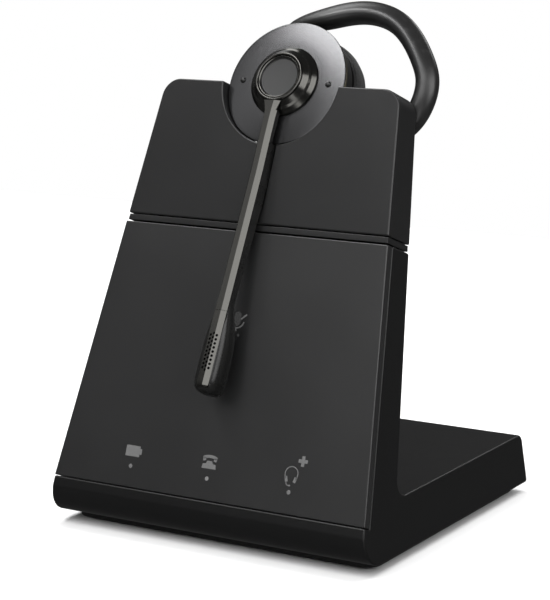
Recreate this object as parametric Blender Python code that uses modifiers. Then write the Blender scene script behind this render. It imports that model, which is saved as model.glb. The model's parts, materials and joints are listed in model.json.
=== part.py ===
"""Cordless office headset standing in its charging base. Metres, +Z up, front towards -Y.

Three local frames hold the pieces. base_frame has its origin where the touch panel meets the chin.
panel_frame shares that origin, with X to the right, Y up the sloping panel and Z out of it.
headset_frame has its origin in the middle of the round front disc, with Z out of the disc.
"""

import math

import bmesh
import bpy
from mathutils import Matrix, Vector

# Base, overall.
base_half_width = 0.0500      # at the seam between panel and chin
side_draft = 0.1133           # the sides come in by this much for each metre of height
seam_height = 0.0141          # panel seam above the table
base_depth = 0.0967
base_front = -base_depth / 2  # foremost point of the chin
chin_bulge = 0.0008           # chin in front of the seam
rear_face = base_depth - chin_bulge
body_bottom = -0.0114         # from the seam
foot_top = 0.0031             # from the seam
rear_draft = 0.0010
wall = 0.0022
fillet_radius = 0.0040
chin_radius = 0.0072
chin_brow = (-0.0028, 0.0030)  # height and radius of the upper curve of the chin
edge_radius = 0.0008
fit_gap = 0.0003
past = 0.0010                 # how far a cutter reaches past a face

# Sloping slab: touch panel, seam band and dock cap.
panel_tilt = math.radians(20.857)
slab_height = 0.11623
slab_top_depth = 0.0094
slab_back_slope = 0.0583      # growth of its depth for each metre down the panel
cap_height = 0.03963
cap_low = slab_height - cap_height
cap_corner_radius = 0.0055
cap_front_wall = 0.0014
cap_screw_place = 0.0280
cap_screw_radius = 0.0006
cap_screw_reach = 0.0059
cap_boss_radius = 0.0022
cap_boss_height = 0.0094
band_height = 0.00164
band_sink = 0.00035
band_high = cap_low - 0.00028
band_low = band_high - band_height
panel_plate_thickness = 0.0025
panel_plate_top = band_low - 0.00048
panel_edge = 0.0003
icon_light_radius = 0.00055
icon_light_length = 0.00385
icon_light_places = ((-0.02515, 0.0060), (0.0, 0.0060), (0.0258, 0.0060), (0.0015, 0.0456))
touch_board_depth = 0.0042
touch_board_thickness = 0.0014
antenna_depth = 0.0084
antenna_half_length = 0.0260

# Bottom plate and feet.
plinth_half_width = base_half_width - 0.0015
plinth_front = 0.00715
plinth_rear = base_depth - 0.0025
plinth_bottom = -0.0135
plinth_corner_radius = 0.0045
foot_pad_radius = 0.0050
foot_pad_sink = 0.0008
foot_pad_inset = 0.0085
foot_pad_places = (
    (plinth_half_width - foot_pad_inset, plinth_front + foot_pad_inset),
    (plinth_half_width - foot_pad_inset, plinth_rear - foot_pad_inset),
)
boss_radius = 0.0030
screw_radius = 0.0010
screw_head_radius = 0.0024
screw_head_height = 0.0009
screw_reach = 0.0065          # above the body's lower edge
base_screw_places = (
    (plinth_half_width - 0.0100, plinth_front + 0.0230),
    (plinth_half_width - 0.0100, plinth_rear - 0.0200),
)

# Main board and sockets.
board_thickness = 0.0016
board_edge_gap = 0.0006
main_board_half_width = base_half_width - 0.0165
main_board_front = 0.0360
main_board_low = -0.0108
post_radius = 0.0022
post_screw_radius = 0.0007
post_places = ((main_board_half_width - 0.0045, main_board_front + 0.0220),)
socket_inset = 0.0001
socket_wall = 0.0009
socket_back_wall = 0.0018
phone_socket_size = (0.0112, 0.0120, 0.0092)
phone_socket_mouth = (0.0080, 0.0072)
phone_socket_places = (-0.0070, 0.0080)
power_inlet_size = (0.0092, 0.0110, 0.0088)
power_inlet_place = -0.0230
power_bore_radius = 0.0029
power_pin_radius = 0.0009
usb_size = (0.0082, 0.0060, 0.0032)
usb_place = 0.0220
usb_shell = 0.0005
ballast_size = (0.0500, 0.0220, 0.0020)
ballast_front = 0.0460
chip_stretch = rear_face - phone_socket_size[1] - main_board_front
chips = (                     # X, share of the free stretch, half size, height
    (-0.0120, 0.33, 0.0050, 0.0010),
    (0.0100, 0.54, 0.0040, 0.0012),
    (0.0, 0.84, 0.0030, 0.0016),
)

# Headset, measured from the middle of the disc.
disc_rise = 0.00112           # above the slab's upper edge
disc_place = slab_height + disc_rise
disc_sink = 0.00253           # behind the panel face
disc_lean = math.radians(7.94)
disc_radius = 0.01824
disc_thickness = 0.0013
rocker_travel_gap = 0.0008
notch_gap = 0.00036
hub_radius = 0.01037
hub_bore_radius = 0.0069
hub_rim_radius = hub_bore_radius + 0.00083
hub_wall_top = 0.0018
hub_top = 0.0041
hub_skirt = -0.0009
hub_roof = 0.0023
hub_cavity_radius = hub_radius - 0.00117
disc_hole_radius = hub_radius + 0.00038
bump_place = disc_hole_radius + 0.0030
bump_radius = 0.00085
bump_height = 0.00045
button_radius = hub_bore_radius - fit_gap
button_face_radius = button_radius - 0.0011
button_top = 0.0040
button_dish = 0.0008
button_flange_low = 0.0030
button_foot = -0.0020
button_stem_radius = 0.0020
post_outer_radius = hub_cavity_radius - 0.0004
post_inner_radius = hub_bore_radius + 0.0001
post_top = 0.0011

# Earpiece, a stack of heights behind the disc.
plate_top = -disc_thickness - rocker_travel_gap
trim_height = 0.0008
trim_radius = disc_radius - 0.00034
band_top = plate_top - trim_height - fit_gap
housing_band_height = 0.0014
band_bottom = band_top - housing_band_height
housing_radius = disc_radius - 0.00064
housing_wall = 0.0010
skirt_radius = housing_radius - 0.0020
skirt_bottom = -0.0079
collar_radius = housing_radius - 0.0004
collar_top = band_bottom - fit_gap
collar_height = 0.0024
collar_low = collar_top - collar_height
flange_radius = disc_radius - 0.00084
flange_top = skirt_bottom - fit_gap
flange_low = flange_top - 0.0008
rear_radius = flange_radius - 0.0047
rear_low = -0.0130
grille_radius = 0.0068
grille_top = rear_low + 0.0006
board_top = -0.0037
earpiece_board_thickness = 0.0008
battery_half = (0.0100, 0.0055)
battery_high = board_top - earpiece_board_thickness - 0.0004
battery_low = -0.0072
cushion_radius = disc_radius - 0.00004
cushion_width = 0.0050
cushion_front = flange_low - fit_gap
cushion_back = -0.0156

# Boom and microphone.
arm_half_width = 0.0019
arm_start = -hub_bore_radius - fit_gap
arm_over_disc = 0.0008
arm_deep_start = -disc_radius - 0.0005
arm_deep_end = -0.0690
arm_end = -0.0896
arm_back_high = -0.0029       # height of its back edge beside the disc
arm_back_low = -0.0018        # and at its lower end
strip_share = 0.86            # width of the strip in the capsule, of the arm's
strip_top = -0.0705
strip_floor = -0.0006
capsule_place = -0.0809
capsule_half = (0.00385, 0.0106, 0.0041)
capsule_sink = -0.0019
mic_element_radius = 0.0016
mic_element_height = 0.0013
mic_element_low = -0.0034
mic_element_places = ((0.0, -0.0760), (0.0, -0.0835))
groove_half_width_top = arm_half_width + 0.00077
groove_half_width_low = arm_half_width + 0.00012
groove_end = -0.0385
groove_rib = 0.0018

# Charging pins in the notch.
pin_radius = 0.0005
pin_clearance = 0.0002
pin_height = band_bottom + 0.0007
pin_length = 0.0062
pin_places = (-0.0055, 0.0055)
pin_tip_gap = 0.0003
contact_half_width = 0.0010
contact_depth = 0.0009
carrier_high = -disc_radius - notch_gap - wall - 0.0017
carrier_low = carrier_high - 0.0043
carrier_half_width = 0.0080

# Ear hook: centre line as X, Y above the collar, Z, and thickness share.
hook_thickness = 0.0068
hook_points = (
    (-0.0080, 0.0012, -0.0062, 0.36),
    (-0.0030, 0.0035, -0.0063, 0.68),
    (0.0030, 0.0048, -0.0066, 0.96),
    (0.0095, 0.0071, -0.0073, 1.0),
    (0.0165, 0.0081, -0.0081, 1.0),
    (0.0240, 0.0064, -0.0090, 1.0),
    (0.0300, 0.0017, -0.0098, 1.0),
    (0.0348, -0.0047, -0.0105, 1.0),
    (0.0375, -0.0101, -0.0112, 1.0),
    (0.0374, -0.0156, -0.0120, 1.0),
    (0.0354, -0.0206, -0.0130, 1.0),
    (0.0315, -0.0242, -0.0142, 0.98),
    (0.0265, -0.0267, -0.0154, 0.94),
    (0.0215, -0.0283, -0.0163, 0.80),
)
lug_left = -0.0040
lug_right = 0.0015

round_steps = 32
ring_steps = 48
arc_steps = 6


def remove_start_objects():
    for obj in list(bpy.data.objects):
        bpy.data.objects.remove(obj, do_unlink=True)


def new_collection(name):
    collection = bpy.data.collections.new(name)
    bpy.context.scene.collection.children.link(collection)
    return collection


remove_start_objects()
parts = new_collection("office_headset")
cutters = new_collection("cutters")
cutters.hide_render = True


def material(name, color, roughness, metallic=0.0):
    made = bpy.data.materials.new(name)
    made.use_nodes = True
    shader = made.node_tree.nodes["Principled BSDF"]
    shader.inputs["Base Color"].default_value = (*color, 1.0)
    shader.inputs["Roughness"].default_value = roughness
    shader.inputs["Metallic"].default_value = metallic
    return made


def frame(name, location, tilt=0.0, parent=None):
    """An empty that carries pieces. tilt leans its Y axis back from vertical, or leaves it level at 0."""
    empty = bpy.data.objects.new(name, None)
    empty.location = location
    if tilt:
        empty.rotation_euler = (math.pi / 2 - tilt, 0.0, 0.0)
    empty.parent = parent
    parts.objects.link(empty)
    return empty


def panel_point(up, out=0.0):
    """Base-frame Y and Z of a point up the panel and out of its face."""
    y = up * math.sin(panel_tilt) - out * math.cos(panel_tilt)
    z = up * math.cos(panel_tilt) + out * math.sin(panel_tilt)
    return y, z


seam_y = base_front + chin_bulge
disc_y, disc_z = panel_point(disc_place, -disc_sink)
base_frame = frame("base_frame", (0.0, seam_y, seam_height))
panel_frame = frame("panel_frame", (0.0, seam_y, seam_height), panel_tilt)
headset_frame = frame(
    "headset_frame", (0.0, seam_y + disc_y, seam_height + disc_z), panel_tilt + disc_lean
)


def finish_object(name, mesh, parent, skin=None):
    obj = bpy.data.objects.new(name, mesh)
    obj.parent = parent
    if skin:
        mesh.materials.append(skin)
        parts.objects.link(obj)
    else:
        cutters.objects.link(obj)
        obj.hide_render = True
        obj.display_type = "WIRE"
    return obj


def smooth(obj, angle=40.0):
    obj.data.shade_smooth()
    obj.data.set_sharp_from_angle(angle=math.radians(angle))
    return obj


def turned(name, profile, parent, skin=None, ring=False, steps=round_steps):
    """A profile of radius and height, clockwise from the top, turned round local Z."""
    mesh = bpy.data.meshes.new(name)
    links = [(n, n + 1) for n in range(len(profile) - 1)]
    if ring:
        links.append((len(profile) - 1, 0))
    mesh.from_pydata([(r, 0.0, h) for r, h in profile], links, [])
    obj = finish_object(name, mesh, parent, skin)
    screw = obj.modifiers.new("turn", "SCREW")
    screw.axis = "Z"
    screw.steps = steps
    screw.render_steps = steps
    screw.use_merge_vertices = True
    screw.merge_threshold = 0.00001
    screw.use_smooth_shade = True
    return obj


def cylinder(name, radius, low, high, place, parent, skin=None, steps=24):
    """A cylinder along local Z from low to high, at place in X and Y."""
    bm = bmesh.new()
    bmesh.ops.create_cone(
        bm, cap_ends=True, segments=steps, radius1=radius, radius2=radius, depth=high - low
    )
    middle = (place[0], place[1], (low + high) / 2)
    bmesh.ops.translate(bm, verts=bm.verts, vec=middle)
    mesh = bpy.data.meshes.new(name)
    bm.to_mesh(mesh)
    bm.free()
    return smooth(finish_object(name, mesh, parent, skin))


def box(name, low, high, parent, skin=None, bevel=0.0):
    bm = bmesh.new()
    bmesh.ops.create_cube(bm, size=1.0)
    size = [b - a for a, b in zip(low, high)]
    middle = [(a + b) / 2 for a, b in zip(low, high)]
    bmesh.ops.scale(bm, verts=bm.verts, vec=size)
    bmesh.ops.translate(bm, verts=bm.verts, vec=middle)
    mesh = bpy.data.meshes.new(name)
    bm.to_mesh(mesh)
    bm.free()
    obj = finish_object(name, mesh, parent, skin)
    if bevel:
        round_edges(obj, bevel)
    return obj


def round_edges(obj, width, segments=2, angle=35.0):
    bevel = obj.modifiers.new("edges", "BEVEL")
    bevel.width = width
    bevel.segments = segments
    bevel.limit_method = "ANGLE"
    bevel.angle_limit = math.radians(angle)


def cut(obj, cutter, operation="DIFFERENCE"):
    boolean = obj.modifiers.new(cutter.name, "BOOLEAN")
    boolean.operation = operation
    boolean.solver = "EXACT"
    boolean.object = cutter


def rounded_outline(corners, steps=arc_steps):
    """Points of a closed outline whose corners are x, y and radius."""
    points = []
    count = len(corners)
    for n, (x, y, radius) in enumerate(corners):
        here = Vector((x, y))
        if radius == 0:
            points.append(here)
            continue
        before = Vector(corners[n - 1][:2]) - here
        after = Vector(corners[(n + 1) % count][:2]) - here
        half = before.angle(after) / 2
        reach = radius / math.tan(half)
        middle = here + (before.normalized() + after.normalized()).normalized() * (
            radius / math.sin(half)
        )
        start = here + before.normalized() * reach - middle
        turn = (here + after.normalized() * reach - middle).angle_signed(start)
        for k in range(steps + 1):
            swung = Matrix.Rotation(turn * k / steps, 2) @ start
            points.append(middle + swung)
    return points


def outline_mesh(name, points, thickness):
    """A mesh plate of this outline in local XY, centred on Z = 0."""
    curve = bpy.data.curves.new(name + "_outline", "CURVE")
    curve.dimensions = "2D"
    curve.fill_mode = "BOTH"
    curve.extrude = thickness / 2
    spline = curve.splines.new("POLY")
    spline.points.add(len(points) - 1)
    for point, (x, y) in zip(spline.points, points):
        point.co = (x, y, 0.0, 1.0)
    spline.use_cyclic_u = True
    guide = bpy.data.objects.new(name + "_outline", curve)
    bpy.context.scene.collection.objects.link(guide)
    bpy.context.view_layer.update()
    graph = bpy.context.evaluated_depsgraph_get()
    mesh = bpy.data.meshes.new_from_object(guide.evaluated_get(graph))
    bpy.data.objects.remove(guide, do_unlink=True)
    bm = bmesh.new()
    bm.from_mesh(mesh)
    bmesh.ops.remove_doubles(bm, verts=bm.verts, dist=0.000001)
    bmesh.ops.recalc_face_normals(bm, faces=bm.faces)
    bm.to_mesh(mesh)
    bm.free()
    mesh.name = name
    return mesh


def plate(name, points, low, high, parent, skin=None):
    """An outline in local XY, from low to high along local Z."""
    mesh = outline_mesh(name, points, high - low)
    mesh.transform(Matrix.Translation((0.0, 0.0, (low + high) / 2)))
    return finish_object(name, mesh, parent, skin)


def side_plate(name, points, half_width, parent, skin=None):
    """An outline in the frame's YZ plane, reaching half_width to each side.

    half_width is a number, or a function of height where the sides are drafted.
    """
    mesh = outline_mesh(name, points, 2.0)
    mesh.transform(Matrix(((0, 0, 1, 0), (1, 0, 0, 0), (0, 1, 0, 0), (0, 0, 0, 1))))
    for vertex in mesh.vertices:
        reach = half_width(vertex.co.z) if callable(half_width) else half_width
        vertex.co.x = math.copysign(reach, vertex.co.x)
    return finish_object(name, mesh, parent, skin)


def drafted_half_width(height, inset=0.0):
    return base_half_width - side_draft * height - inset


def slab_back(up):
    """Depth of the slab's back face behind the panel face."""
    return slab_top_depth + (slab_height - up) * slab_back_slope


def slab_piece(name, corners, parent, skin=None, front=0.0, back=None, back_inset=0.0):
    """A piece of the slab. Its outline is drawn on the panel face, and its sides keep the draft."""
    mesh = outline_mesh(name, rounded_outline(corners), 2.0)
    for vertex in mesh.vertices:
        up = vertex.co.y
        behind = slab_back(up) - back_inset if back is None else back
        out = front if vertex.co.z > 0 else -behind
        at_face = drafted_half_width(up * math.cos(panel_tilt))
        here = drafted_half_width(panel_point(up, out)[1])
        vertex.co.x *= here / at_face
        vertex.co.z = out
    return finish_object(name, mesh, parent, skin)


def slab_corners(low, high, inset=0.0, top_radius=0.0):
    """Outline of a slab piece on the panel face, between two heights up the panel."""
    low_half = drafted_half_width(low * math.cos(panel_tilt), inset)
    high_half = drafted_half_width(high * math.cos(panel_tilt), inset)
    return (
        (-low_half, low, 0.0),
        (low_half, low, 0.0),
        (high_half, high, top_radius),
        (-high_half, high, top_radius),
    )


black_plastic = material("black_plastic", (0.012, 0.012, 0.012), 0.42)
panel_plastic = material("panel_plastic", (0.035, 0.035, 0.036), 0.5)
cap_plastic = material("cap_plastic", (0.035, 0.035, 0.036), 0.5)
dark_plastic = material("dark_plastic", (0.02, 0.02, 0.02), 0.6)
gunmetal = material("gunmetal", (0.16, 0.16, 0.155), 0.25, 0.85)
anodised = material("anodised", (0.13, 0.13, 0.13), 0.45, 0.6)
bronze_trim = material("bronze_trim", (0.12, 0.11, 0.08), 0.35, 0.8)
leatherette = material("leatherette", (0.03, 0.03, 0.03), 0.7)
soft_rubber = material("soft_rubber", (0.03, 0.03, 0.03), 0.5)
board_green = material("board_green", (0.02, 0.12, 0.05), 0.5)
steel = material("steel", (0.5, 0.5, 0.5), 0.35, 1.0)
gold = material("gold", (0.8, 0.6, 0.25), 0.3, 1.0)
clear_light = material("clear_light", (0.6, 0.6, 0.6), 0.3)
battery_wrap = material("battery_wrap", (0.25, 0.28, 0.32), 0.5)


def mirrored(places):
    """Each place and its twin on the other side of the middle plane."""
    both = []
    for x, y in places:
        both += [(-x, y), (x, y)]
    return both


def joined_cylinders(name, radius, low, high, places, parent, skin=None, steps=24):
    """Separate equal cylinders in one object."""
    bm = bmesh.new()
    for x, y in places:
        made = bmesh.ops.create_cone(
            bm, cap_ends=True, segments=steps, radius1=radius, radius2=radius, depth=high - low
        )
        bmesh.ops.translate(bm, verts=made["verts"], vec=(x, y, (low + high) / 2))
    mesh = bpy.data.meshes.new(name)
    bm.to_mesh(mesh)
    bm.free()
    return smooth(finish_object(name, mesh, parent, skin))


def numbered_cylinders(name, radius, low, high, places, parent, skin, steps=24):
    """Equal cylinders, each its own object."""
    for n, place in enumerate(places):
        cylinder(f"{name}_{n + 1}", radius, low, high, place, parent, skin, steps)


def screws(name, places, shank_low, shank_high, parent):
    """Pan-head screws that enter upwards."""
    profile = (
        (0.0, shank_high),
        (screw_radius, shank_high),
        (screw_radius, shank_low),
        (screw_head_radius, shank_low),
        (screw_head_radius, shank_low - screw_head_height),
        (0.0, shank_low - screw_head_height),
    )
    for n, (x, y) in enumerate(places):
        screw = turned(f"{name}_{n + 1}", profile, parent, steel, steps=16)
        screw.location = (x, y, 0.0)


# Base -----------------------------------------------------------------------------------------


def make_body_shell():
    plate_back = panel_plate_thickness + fit_gap
    slab_top = band_low - fit_gap
    inner_corner = foot_corner(0.0)
    outline = rounded_outline(
        (
            (*panel_point(0.0, 0.0), 0.0),
            (-chin_bulge, *chin_brow),
            (-chin_bulge / 2, body_bottom, chin_radius),
            (rear_face, body_bottom, 0.0010),
            (rear_face - rear_draft, foot_top, 0.0020),
            (*inner_corner, fillet_radius),
            (*panel_point(slab_top, -slab_back(slab_top)), 0.0),
            (*panel_point(slab_top, -plate_back), 0.0),
            (*panel_point(0.0, -plate_back), 0.0),
        )
    )
    shell = side_plate("body_shell", outline, drafted_half_width, base_frame, black_plastic)
    round_edges(shell, edge_radius, angle=60.0)
    ledge = 0.0030                # lip that carries the panel's lower edge
    above = slab_top + 0.005
    below = body_bottom - 0.003
    opening = plinth_front + 0.0034
    inner_rear = rear_face - wall - rear_draft
    inner = foot_corner(wall)
    hollow = rounded_outline(
        (
            (*panel_point(ledge, 0.004), 0.0),
            (*panel_point(ledge, -plate_back - 0.0012), 0.0),
            (wall, -0.0052, 0.003),
            (opening, body_bottom + 0.0002, 0.0),
            (opening, below, 0.0),
            (inner_rear, below, 0.0),
            (inner_rear, foot_top - wall, 0.0),
            (*inner, fillet_radius + wall),
            (*panel_point(above, wall - slab_back(above)), 0.0),
            (*panel_point(above, 0.004), 0.0),
        )
    )
    cavity = side_plate(
        "body_cavity", hollow, lambda height: drafted_half_width(height, wall), base_frame
    )
    cut(shell, cavity)
    bosses = joined_cylinders(
        "body_bosses",
        boss_radius,
        body_bottom + 0.0004,
        foot_top - wall / 2,
        mirrored(base_screw_places),
        base_frame,
    )
    cut(shell, bosses, "UNION")
    posts = joined_cylinders(
        "board_posts",
        post_radius,
        main_board_low + board_thickness + fit_gap,
        foot_top - wall / 2,
        mirrored(post_places),
        base_frame,
    )
    cut(shell, posts, "UNION")
    bores = joined_cylinders(
        "boss_bores",
        screw_radius + fit_gap,
        body_bottom - past,
        body_bottom + screw_reach + past,
        mirrored(base_screw_places),
        base_frame,
    )
    cut(shell, bores)
    post_bores = joined_cylinders(
        "post_bores",
        post_screw_radius + pin_clearance,
        main_board_low,
        main_board_low + board_thickness + 0.0046,
        mirrored(post_places),
        base_frame,
    )
    cut(shell, post_bores)
    for name, place, size in socket_windows():
        window = box(
            name + "_window",
            (place - size[0] / 2 - fit_gap, rear_face - 2 * wall, socket_low() - fit_gap),
            (place + size[0] / 2 + fit_gap, rear_face + past, socket_low() + size[2] + fit_gap),
            base_frame,
        )
        cut(shell, window)


def foot_corner(inset):
    """Where the slab's back plane meets the foot's top, both moved inwards by inset."""
    low_y, low_z = panel_point(0.0, inset - slab_back(0.0))
    high_y, high_z = panel_point(slab_height, inset - slab_back(slab_height))
    level = foot_top - inset
    share = (level - low_z) / (high_z - low_z)
    return low_y + share * (high_y - low_y), level


def socket_low():
    return main_board_low + board_thickness + fit_gap


def socket_windows():
    """Name, X and size of each socket that looks out of the rear wall."""
    found = [
        (f"phone_socket_{n + 1}", place, phone_socket_size)
        for n, place in enumerate(phone_socket_places)
    ]
    found.append(("power_inlet", power_inlet_place, power_inlet_size))
    found.append(("usb_socket", usb_place, usb_size))
    return found


def make_bottom_plate():
    top = body_bottom - fit_gap
    outline = rounded_outline(
        (
            (-plinth_half_width, plinth_front, plinth_corner_radius),
            (plinth_half_width, plinth_front, plinth_corner_radius),
            (plinth_half_width, plinth_rear, plinth_corner_radius),
            (-plinth_half_width, plinth_rear, plinth_corner_radius),
        ),
        steps=5,
    )
    plinth = plate("bottom_plate", outline, plinth_bottom, top, base_frame, dark_plastic)
    pads = joined_cylinders(
        "foot_recesses",
        foot_pad_radius + fit_gap,
        plinth_bottom - past,
        plinth_bottom + foot_pad_sink,
        mirrored(foot_pad_places),
        base_frame,
    )
    cut(plinth, pads)
    heads = joined_cylinders(
        "screw_counterbores",
        screw_head_radius + fit_gap,
        plinth_bottom - past,
        plinth_bottom + screw_head_height,
        mirrored(base_screw_places),
        base_frame,
    )
    cut(plinth, heads)
    holes = joined_cylinders(
        "screw_holes",
        screw_radius + fit_gap,
        plinth_bottom,
        top + past,
        mirrored(base_screw_places),
        base_frame,
    )
    cut(plinth, holes)
    shank_start = plinth_bottom + screw_head_height - 0.0002
    places = mirrored(base_screw_places)
    screws("base_screw", places, shank_start, body_bottom + screw_reach, base_frame)
    numbered_cylinders(
        "rubber_foot",
        foot_pad_radius,
        -seam_height,
        plinth_bottom + foot_pad_sink - fit_gap,
        mirrored(foot_pad_places),
        base_frame,
        soft_rubber,
        steps=32,
    )


def make_main_board():
    board_top_face = main_board_low + board_thickness
    board_rear = rear_face - wall - rear_draft - board_edge_gap
    board = box(
        "main_board",
        (-main_board_half_width, main_board_front, main_board_low),
        (main_board_half_width, board_rear, board_top_face),
        base_frame,
        board_green,
    )
    holes = joined_cylinders(
        "board_holes",
        post_screw_radius + 0.0006,
        main_board_low - past,
        board_top_face + past,
        mirrored(post_places),
        base_frame,
    )
    cut(board, holes)
    for n, (x, share, half, height) in enumerate(chips):
        y = main_board_front + share * chip_stretch
        chip = box(
            f"board_chip_{n + 1}",
            (x - half, y - half, main_board_low + board_thickness / 2),
            (x + half, y + half, board_top_face + height),
            base_frame,
        )
        cut(board, chip, "UNION")
    numbered_cylinders(
        "board_screw",
        post_screw_radius,
        main_board_low - 0.0004,
        board_top_face + 0.0040,
        mirrored(post_places),
        base_frame,
        steel,
        steps=12,
    )


def make_ballast():
    top = foot_top - wall - fit_gap
    width, depth, height = ballast_size
    low = (-width / 2, ballast_front, top - height)
    high = (width / 2, ballast_front + depth, top)
    box("ballast_plate", low, high, base_frame, steel)


def make_sockets():
    low = socket_low()
    face = rear_face - rear_draft - socket_inset
    for name, place, size in socket_windows():
        body = box(
            name,
            (place - size[0] / 2, face - size[1], low),
            (place + size[0] / 2, face, low + size[2]),
            base_frame,
            steel if name == "usb_socket" else dark_plastic,
        )
        if name.startswith("phone"):
            mouth_width, mouth_height = phone_socket_mouth
            mouth = box(
                name + "_mouth",
                (place - mouth_width / 2, face - size[1] + socket_back_wall, low + socket_wall),
                (place + mouth_width / 2, face + past, low + socket_wall + mouth_height),
                base_frame,
            )
        elif name == "usb_socket":
            half = size[0] / 2 - usb_shell
            mouth = box(
                name + "_mouth",
                (place - half, face - size[1] + 2 * usb_shell, low + usb_shell),
                (place + half, face + past, low + size[2] - usb_shell),
                base_frame,
            )
        else:
            middle = low + size[2] / 2
            mouth = turned(
                name + "_mouth",
                (
                    (power_pin_radius, past),
                    (power_bore_radius, past),
                    (power_bore_radius, -size[1] + socket_back_wall),
                    (power_pin_radius, -size[1] + socket_back_wall),
                ),
                base_frame,
                ring=True,
                steps=24,
            )
            mouth.location = (place, face, middle)
            mouth.rotation_euler = (-math.pi / 2, 0.0, 0.0)
        cut(body, mouth)


def make_touch_panel():
    panel = slab_piece(
        "touch_panel",
        slab_corners(fit_gap / 2, panel_plate_top),
        panel_frame,
        panel_plastic,
        back=panel_plate_thickness,
    )
    round_edges(panel, panel_edge, angle=60.0)
    holes = joined_cylinders(
        "light_holes",
        icon_light_radius + pin_clearance,
        -panel_plate_thickness - past,
        past,
        icon_light_places,
        panel_frame,
        steps=12,
    )
    cut(panel, holes)
    numbered_cylinders(
        "indicator_light",
        icon_light_radius,
        -icon_light_length,
        -0.00005,
        icon_light_places,
        panel_frame,
        clear_light,
        steps=12,
    )
    half = drafted_half_width(panel_plate_top) - wall - 0.0048
    box(
        "touch_board",
        (-half, wall + 0.0020, -touch_board_depth - touch_board_thickness),
        (half, panel_plate_top - 0.0062, -touch_board_depth),
        panel_frame,
        board_green,
    )
    antenna_top = panel_plate_top - 0.0082
    box(
        "antenna",
        (-antenna_half_length, antenna_top - 0.0100, -antenna_depth - 0.0004),
        (antenna_half_length, antenna_top, -antenna_depth),
        panel_frame,
        gold,
    )


def make_seam_band():
    band = slab_piece(
        "seam_band",
        slab_corners(band_low, band_high, fit_gap),
        panel_frame,
        cap_plastic,
        front=-band_sink,
        back_inset=fit_gap,
    )
    wire_hole = box(
        "band_wire_hole",
        (-0.0120, band_low - past, -0.0080),
        (0.0120, band_high + past, -0.0045),
        panel_frame,
    )
    cut(band, wire_hole)
    for n, side in enumerate((-1.0, 1.0)):
        name = f"cap_screw_hole_{n + 1}"
        bore = cap_screw_radius + fit_gap
        cut(band, upright_cylinder(name, bore, band_low - past, band_high + past, side))


def upright_cylinder(name, radius, low, high, side, skin=None):
    """A cylinder along the panel's own upward direction, at a cap screw's place."""
    obj = cylinder(name, radius, low, high, (0.0, 0.0), panel_frame, skin, steps=16)
    obj.rotation_euler = (-math.pi / 2, 0.0, 0.0)
    obj.location = (side * cap_screw_place, 0.0, -slab_back(cap_low) + wall + cap_boss_radius - fit_gap)
    return obj


def make_dock_cap():
    corners = slab_corners(cap_low, slab_height, top_radius=cap_corner_radius)
    cap = slab_piece("dock_cap", corners, panel_frame, cap_plastic)
    round_edges(cap, 0.0006, angle=60.0)
    below = cap_low - 0.002
    pocket_top = slab_height - wall
    pocket = slab_piece(
        "cap_cavity",
        slab_corners(below, pocket_top, wall, cap_corner_radius - wall),
        panel_frame,
        front=-cap_front_wall,
        back_inset=wall,
    )
    notch_radius = disc_radius + notch_gap
    through = 0.03
    round_wall = notch_radius + wall
    keep_round = cylinder(
        "notch_wall", round_wall, -through, through, (0.0, 0.0), headset_frame, steps=ring_steps
    )
    cut(pocket, keep_round)
    rib_half = groove_half_width_top + groove_rib
    keep_groove = box(
        "groove_wall",
        (-rib_half, groove_end - 0.004, -0.0050),
        (rib_half, 0.0, 0.010),
        headset_frame,
    )
    cut(pocket, keep_groove)
    cut(cap, pocket)
    notch = cylinder(
        "notch_bore", notch_radius, -through, through, (0.0, 0.0), headset_frame, steps=ring_steps
    )
    cut(cap, notch)
    cut(cap, make_groove_cutter())
    holes_low = carrier_high - 0.0035
    holes_high = 0.0035 - disc_radius
    cut(cap, pin_bars("pin_holes", pin_radius + pin_clearance, holes_low, holes_high))
    for n, side in enumerate((-1.0, 1.0)):
        boss_top = cap_low + cap_boss_height
        screw_top = cap_low + cap_screw_reach
        boss = upright_cylinder(
            f"cap_boss_{n + 1}", cap_boss_radius, cap_low + 0.0002, boss_top, side
        )
        cut(cap, boss, "UNION")
        bore = cap_screw_radius + fit_gap
        well = upright_cylinder(
            f"cap_boss_bore_{n + 1}", bore, cap_low - past, screw_top + past, side
        )
        cut(cap, well)
        name = f"cap_screw_{n + 1}"
        upright_cylinder(name, cap_screw_radius, band_low - 0.0008, screw_top, side, steel)


def arm_back(place):
    """Height of the arm's back edge at a distance down the boom."""
    share = (place - arm_deep_start) / (arm_deep_end - arm_deep_start)
    return arm_back_high + share * (arm_back_low - arm_back_high)


def make_groove_cutter():
    top = -(disc_radius + notch_gap) + 0.002
    low = groove_end - 0.004
    above = 0.006
    outline = (
        (top, arm_back(top) - fit_gap),
        (low, arm_back(low) - fit_gap),
        (low, above),
        (top, above),
    )
    groove = side_plate("boom_groove", outline, 1.0, headset_frame)
    run = (groove_half_width_top - groove_half_width_low) / (top - groove_end)
    for vertex in groove.data.vertices:
        half = groove_half_width_top - run * (top - vertex.co.y)
        vertex.co.x = math.copysign(half, vertex.co.x)
    return groove


def pin_bars(name, radius, low, high):
    """One cutter with a bar along the disc's own Y at each pin."""
    bm = bmesh.new()
    for x in pin_places:
        made = bmesh.ops.create_cone(
            bm, cap_ends=True, segments=12, radius1=radius, radius2=radius, depth=high - low
        )
        bmesh.ops.rotate(bm, verts=made["verts"], matrix=Matrix.Rotation(math.pi / 2, 3, "X"))
        bmesh.ops.translate(bm, verts=made["verts"], vec=(x, (low + high) / 2, pin_height))
    mesh = bpy.data.meshes.new(name)
    bm.to_mesh(mesh)
    bm.free()
    return smooth(finish_object(name, mesh, headset_frame))


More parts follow.
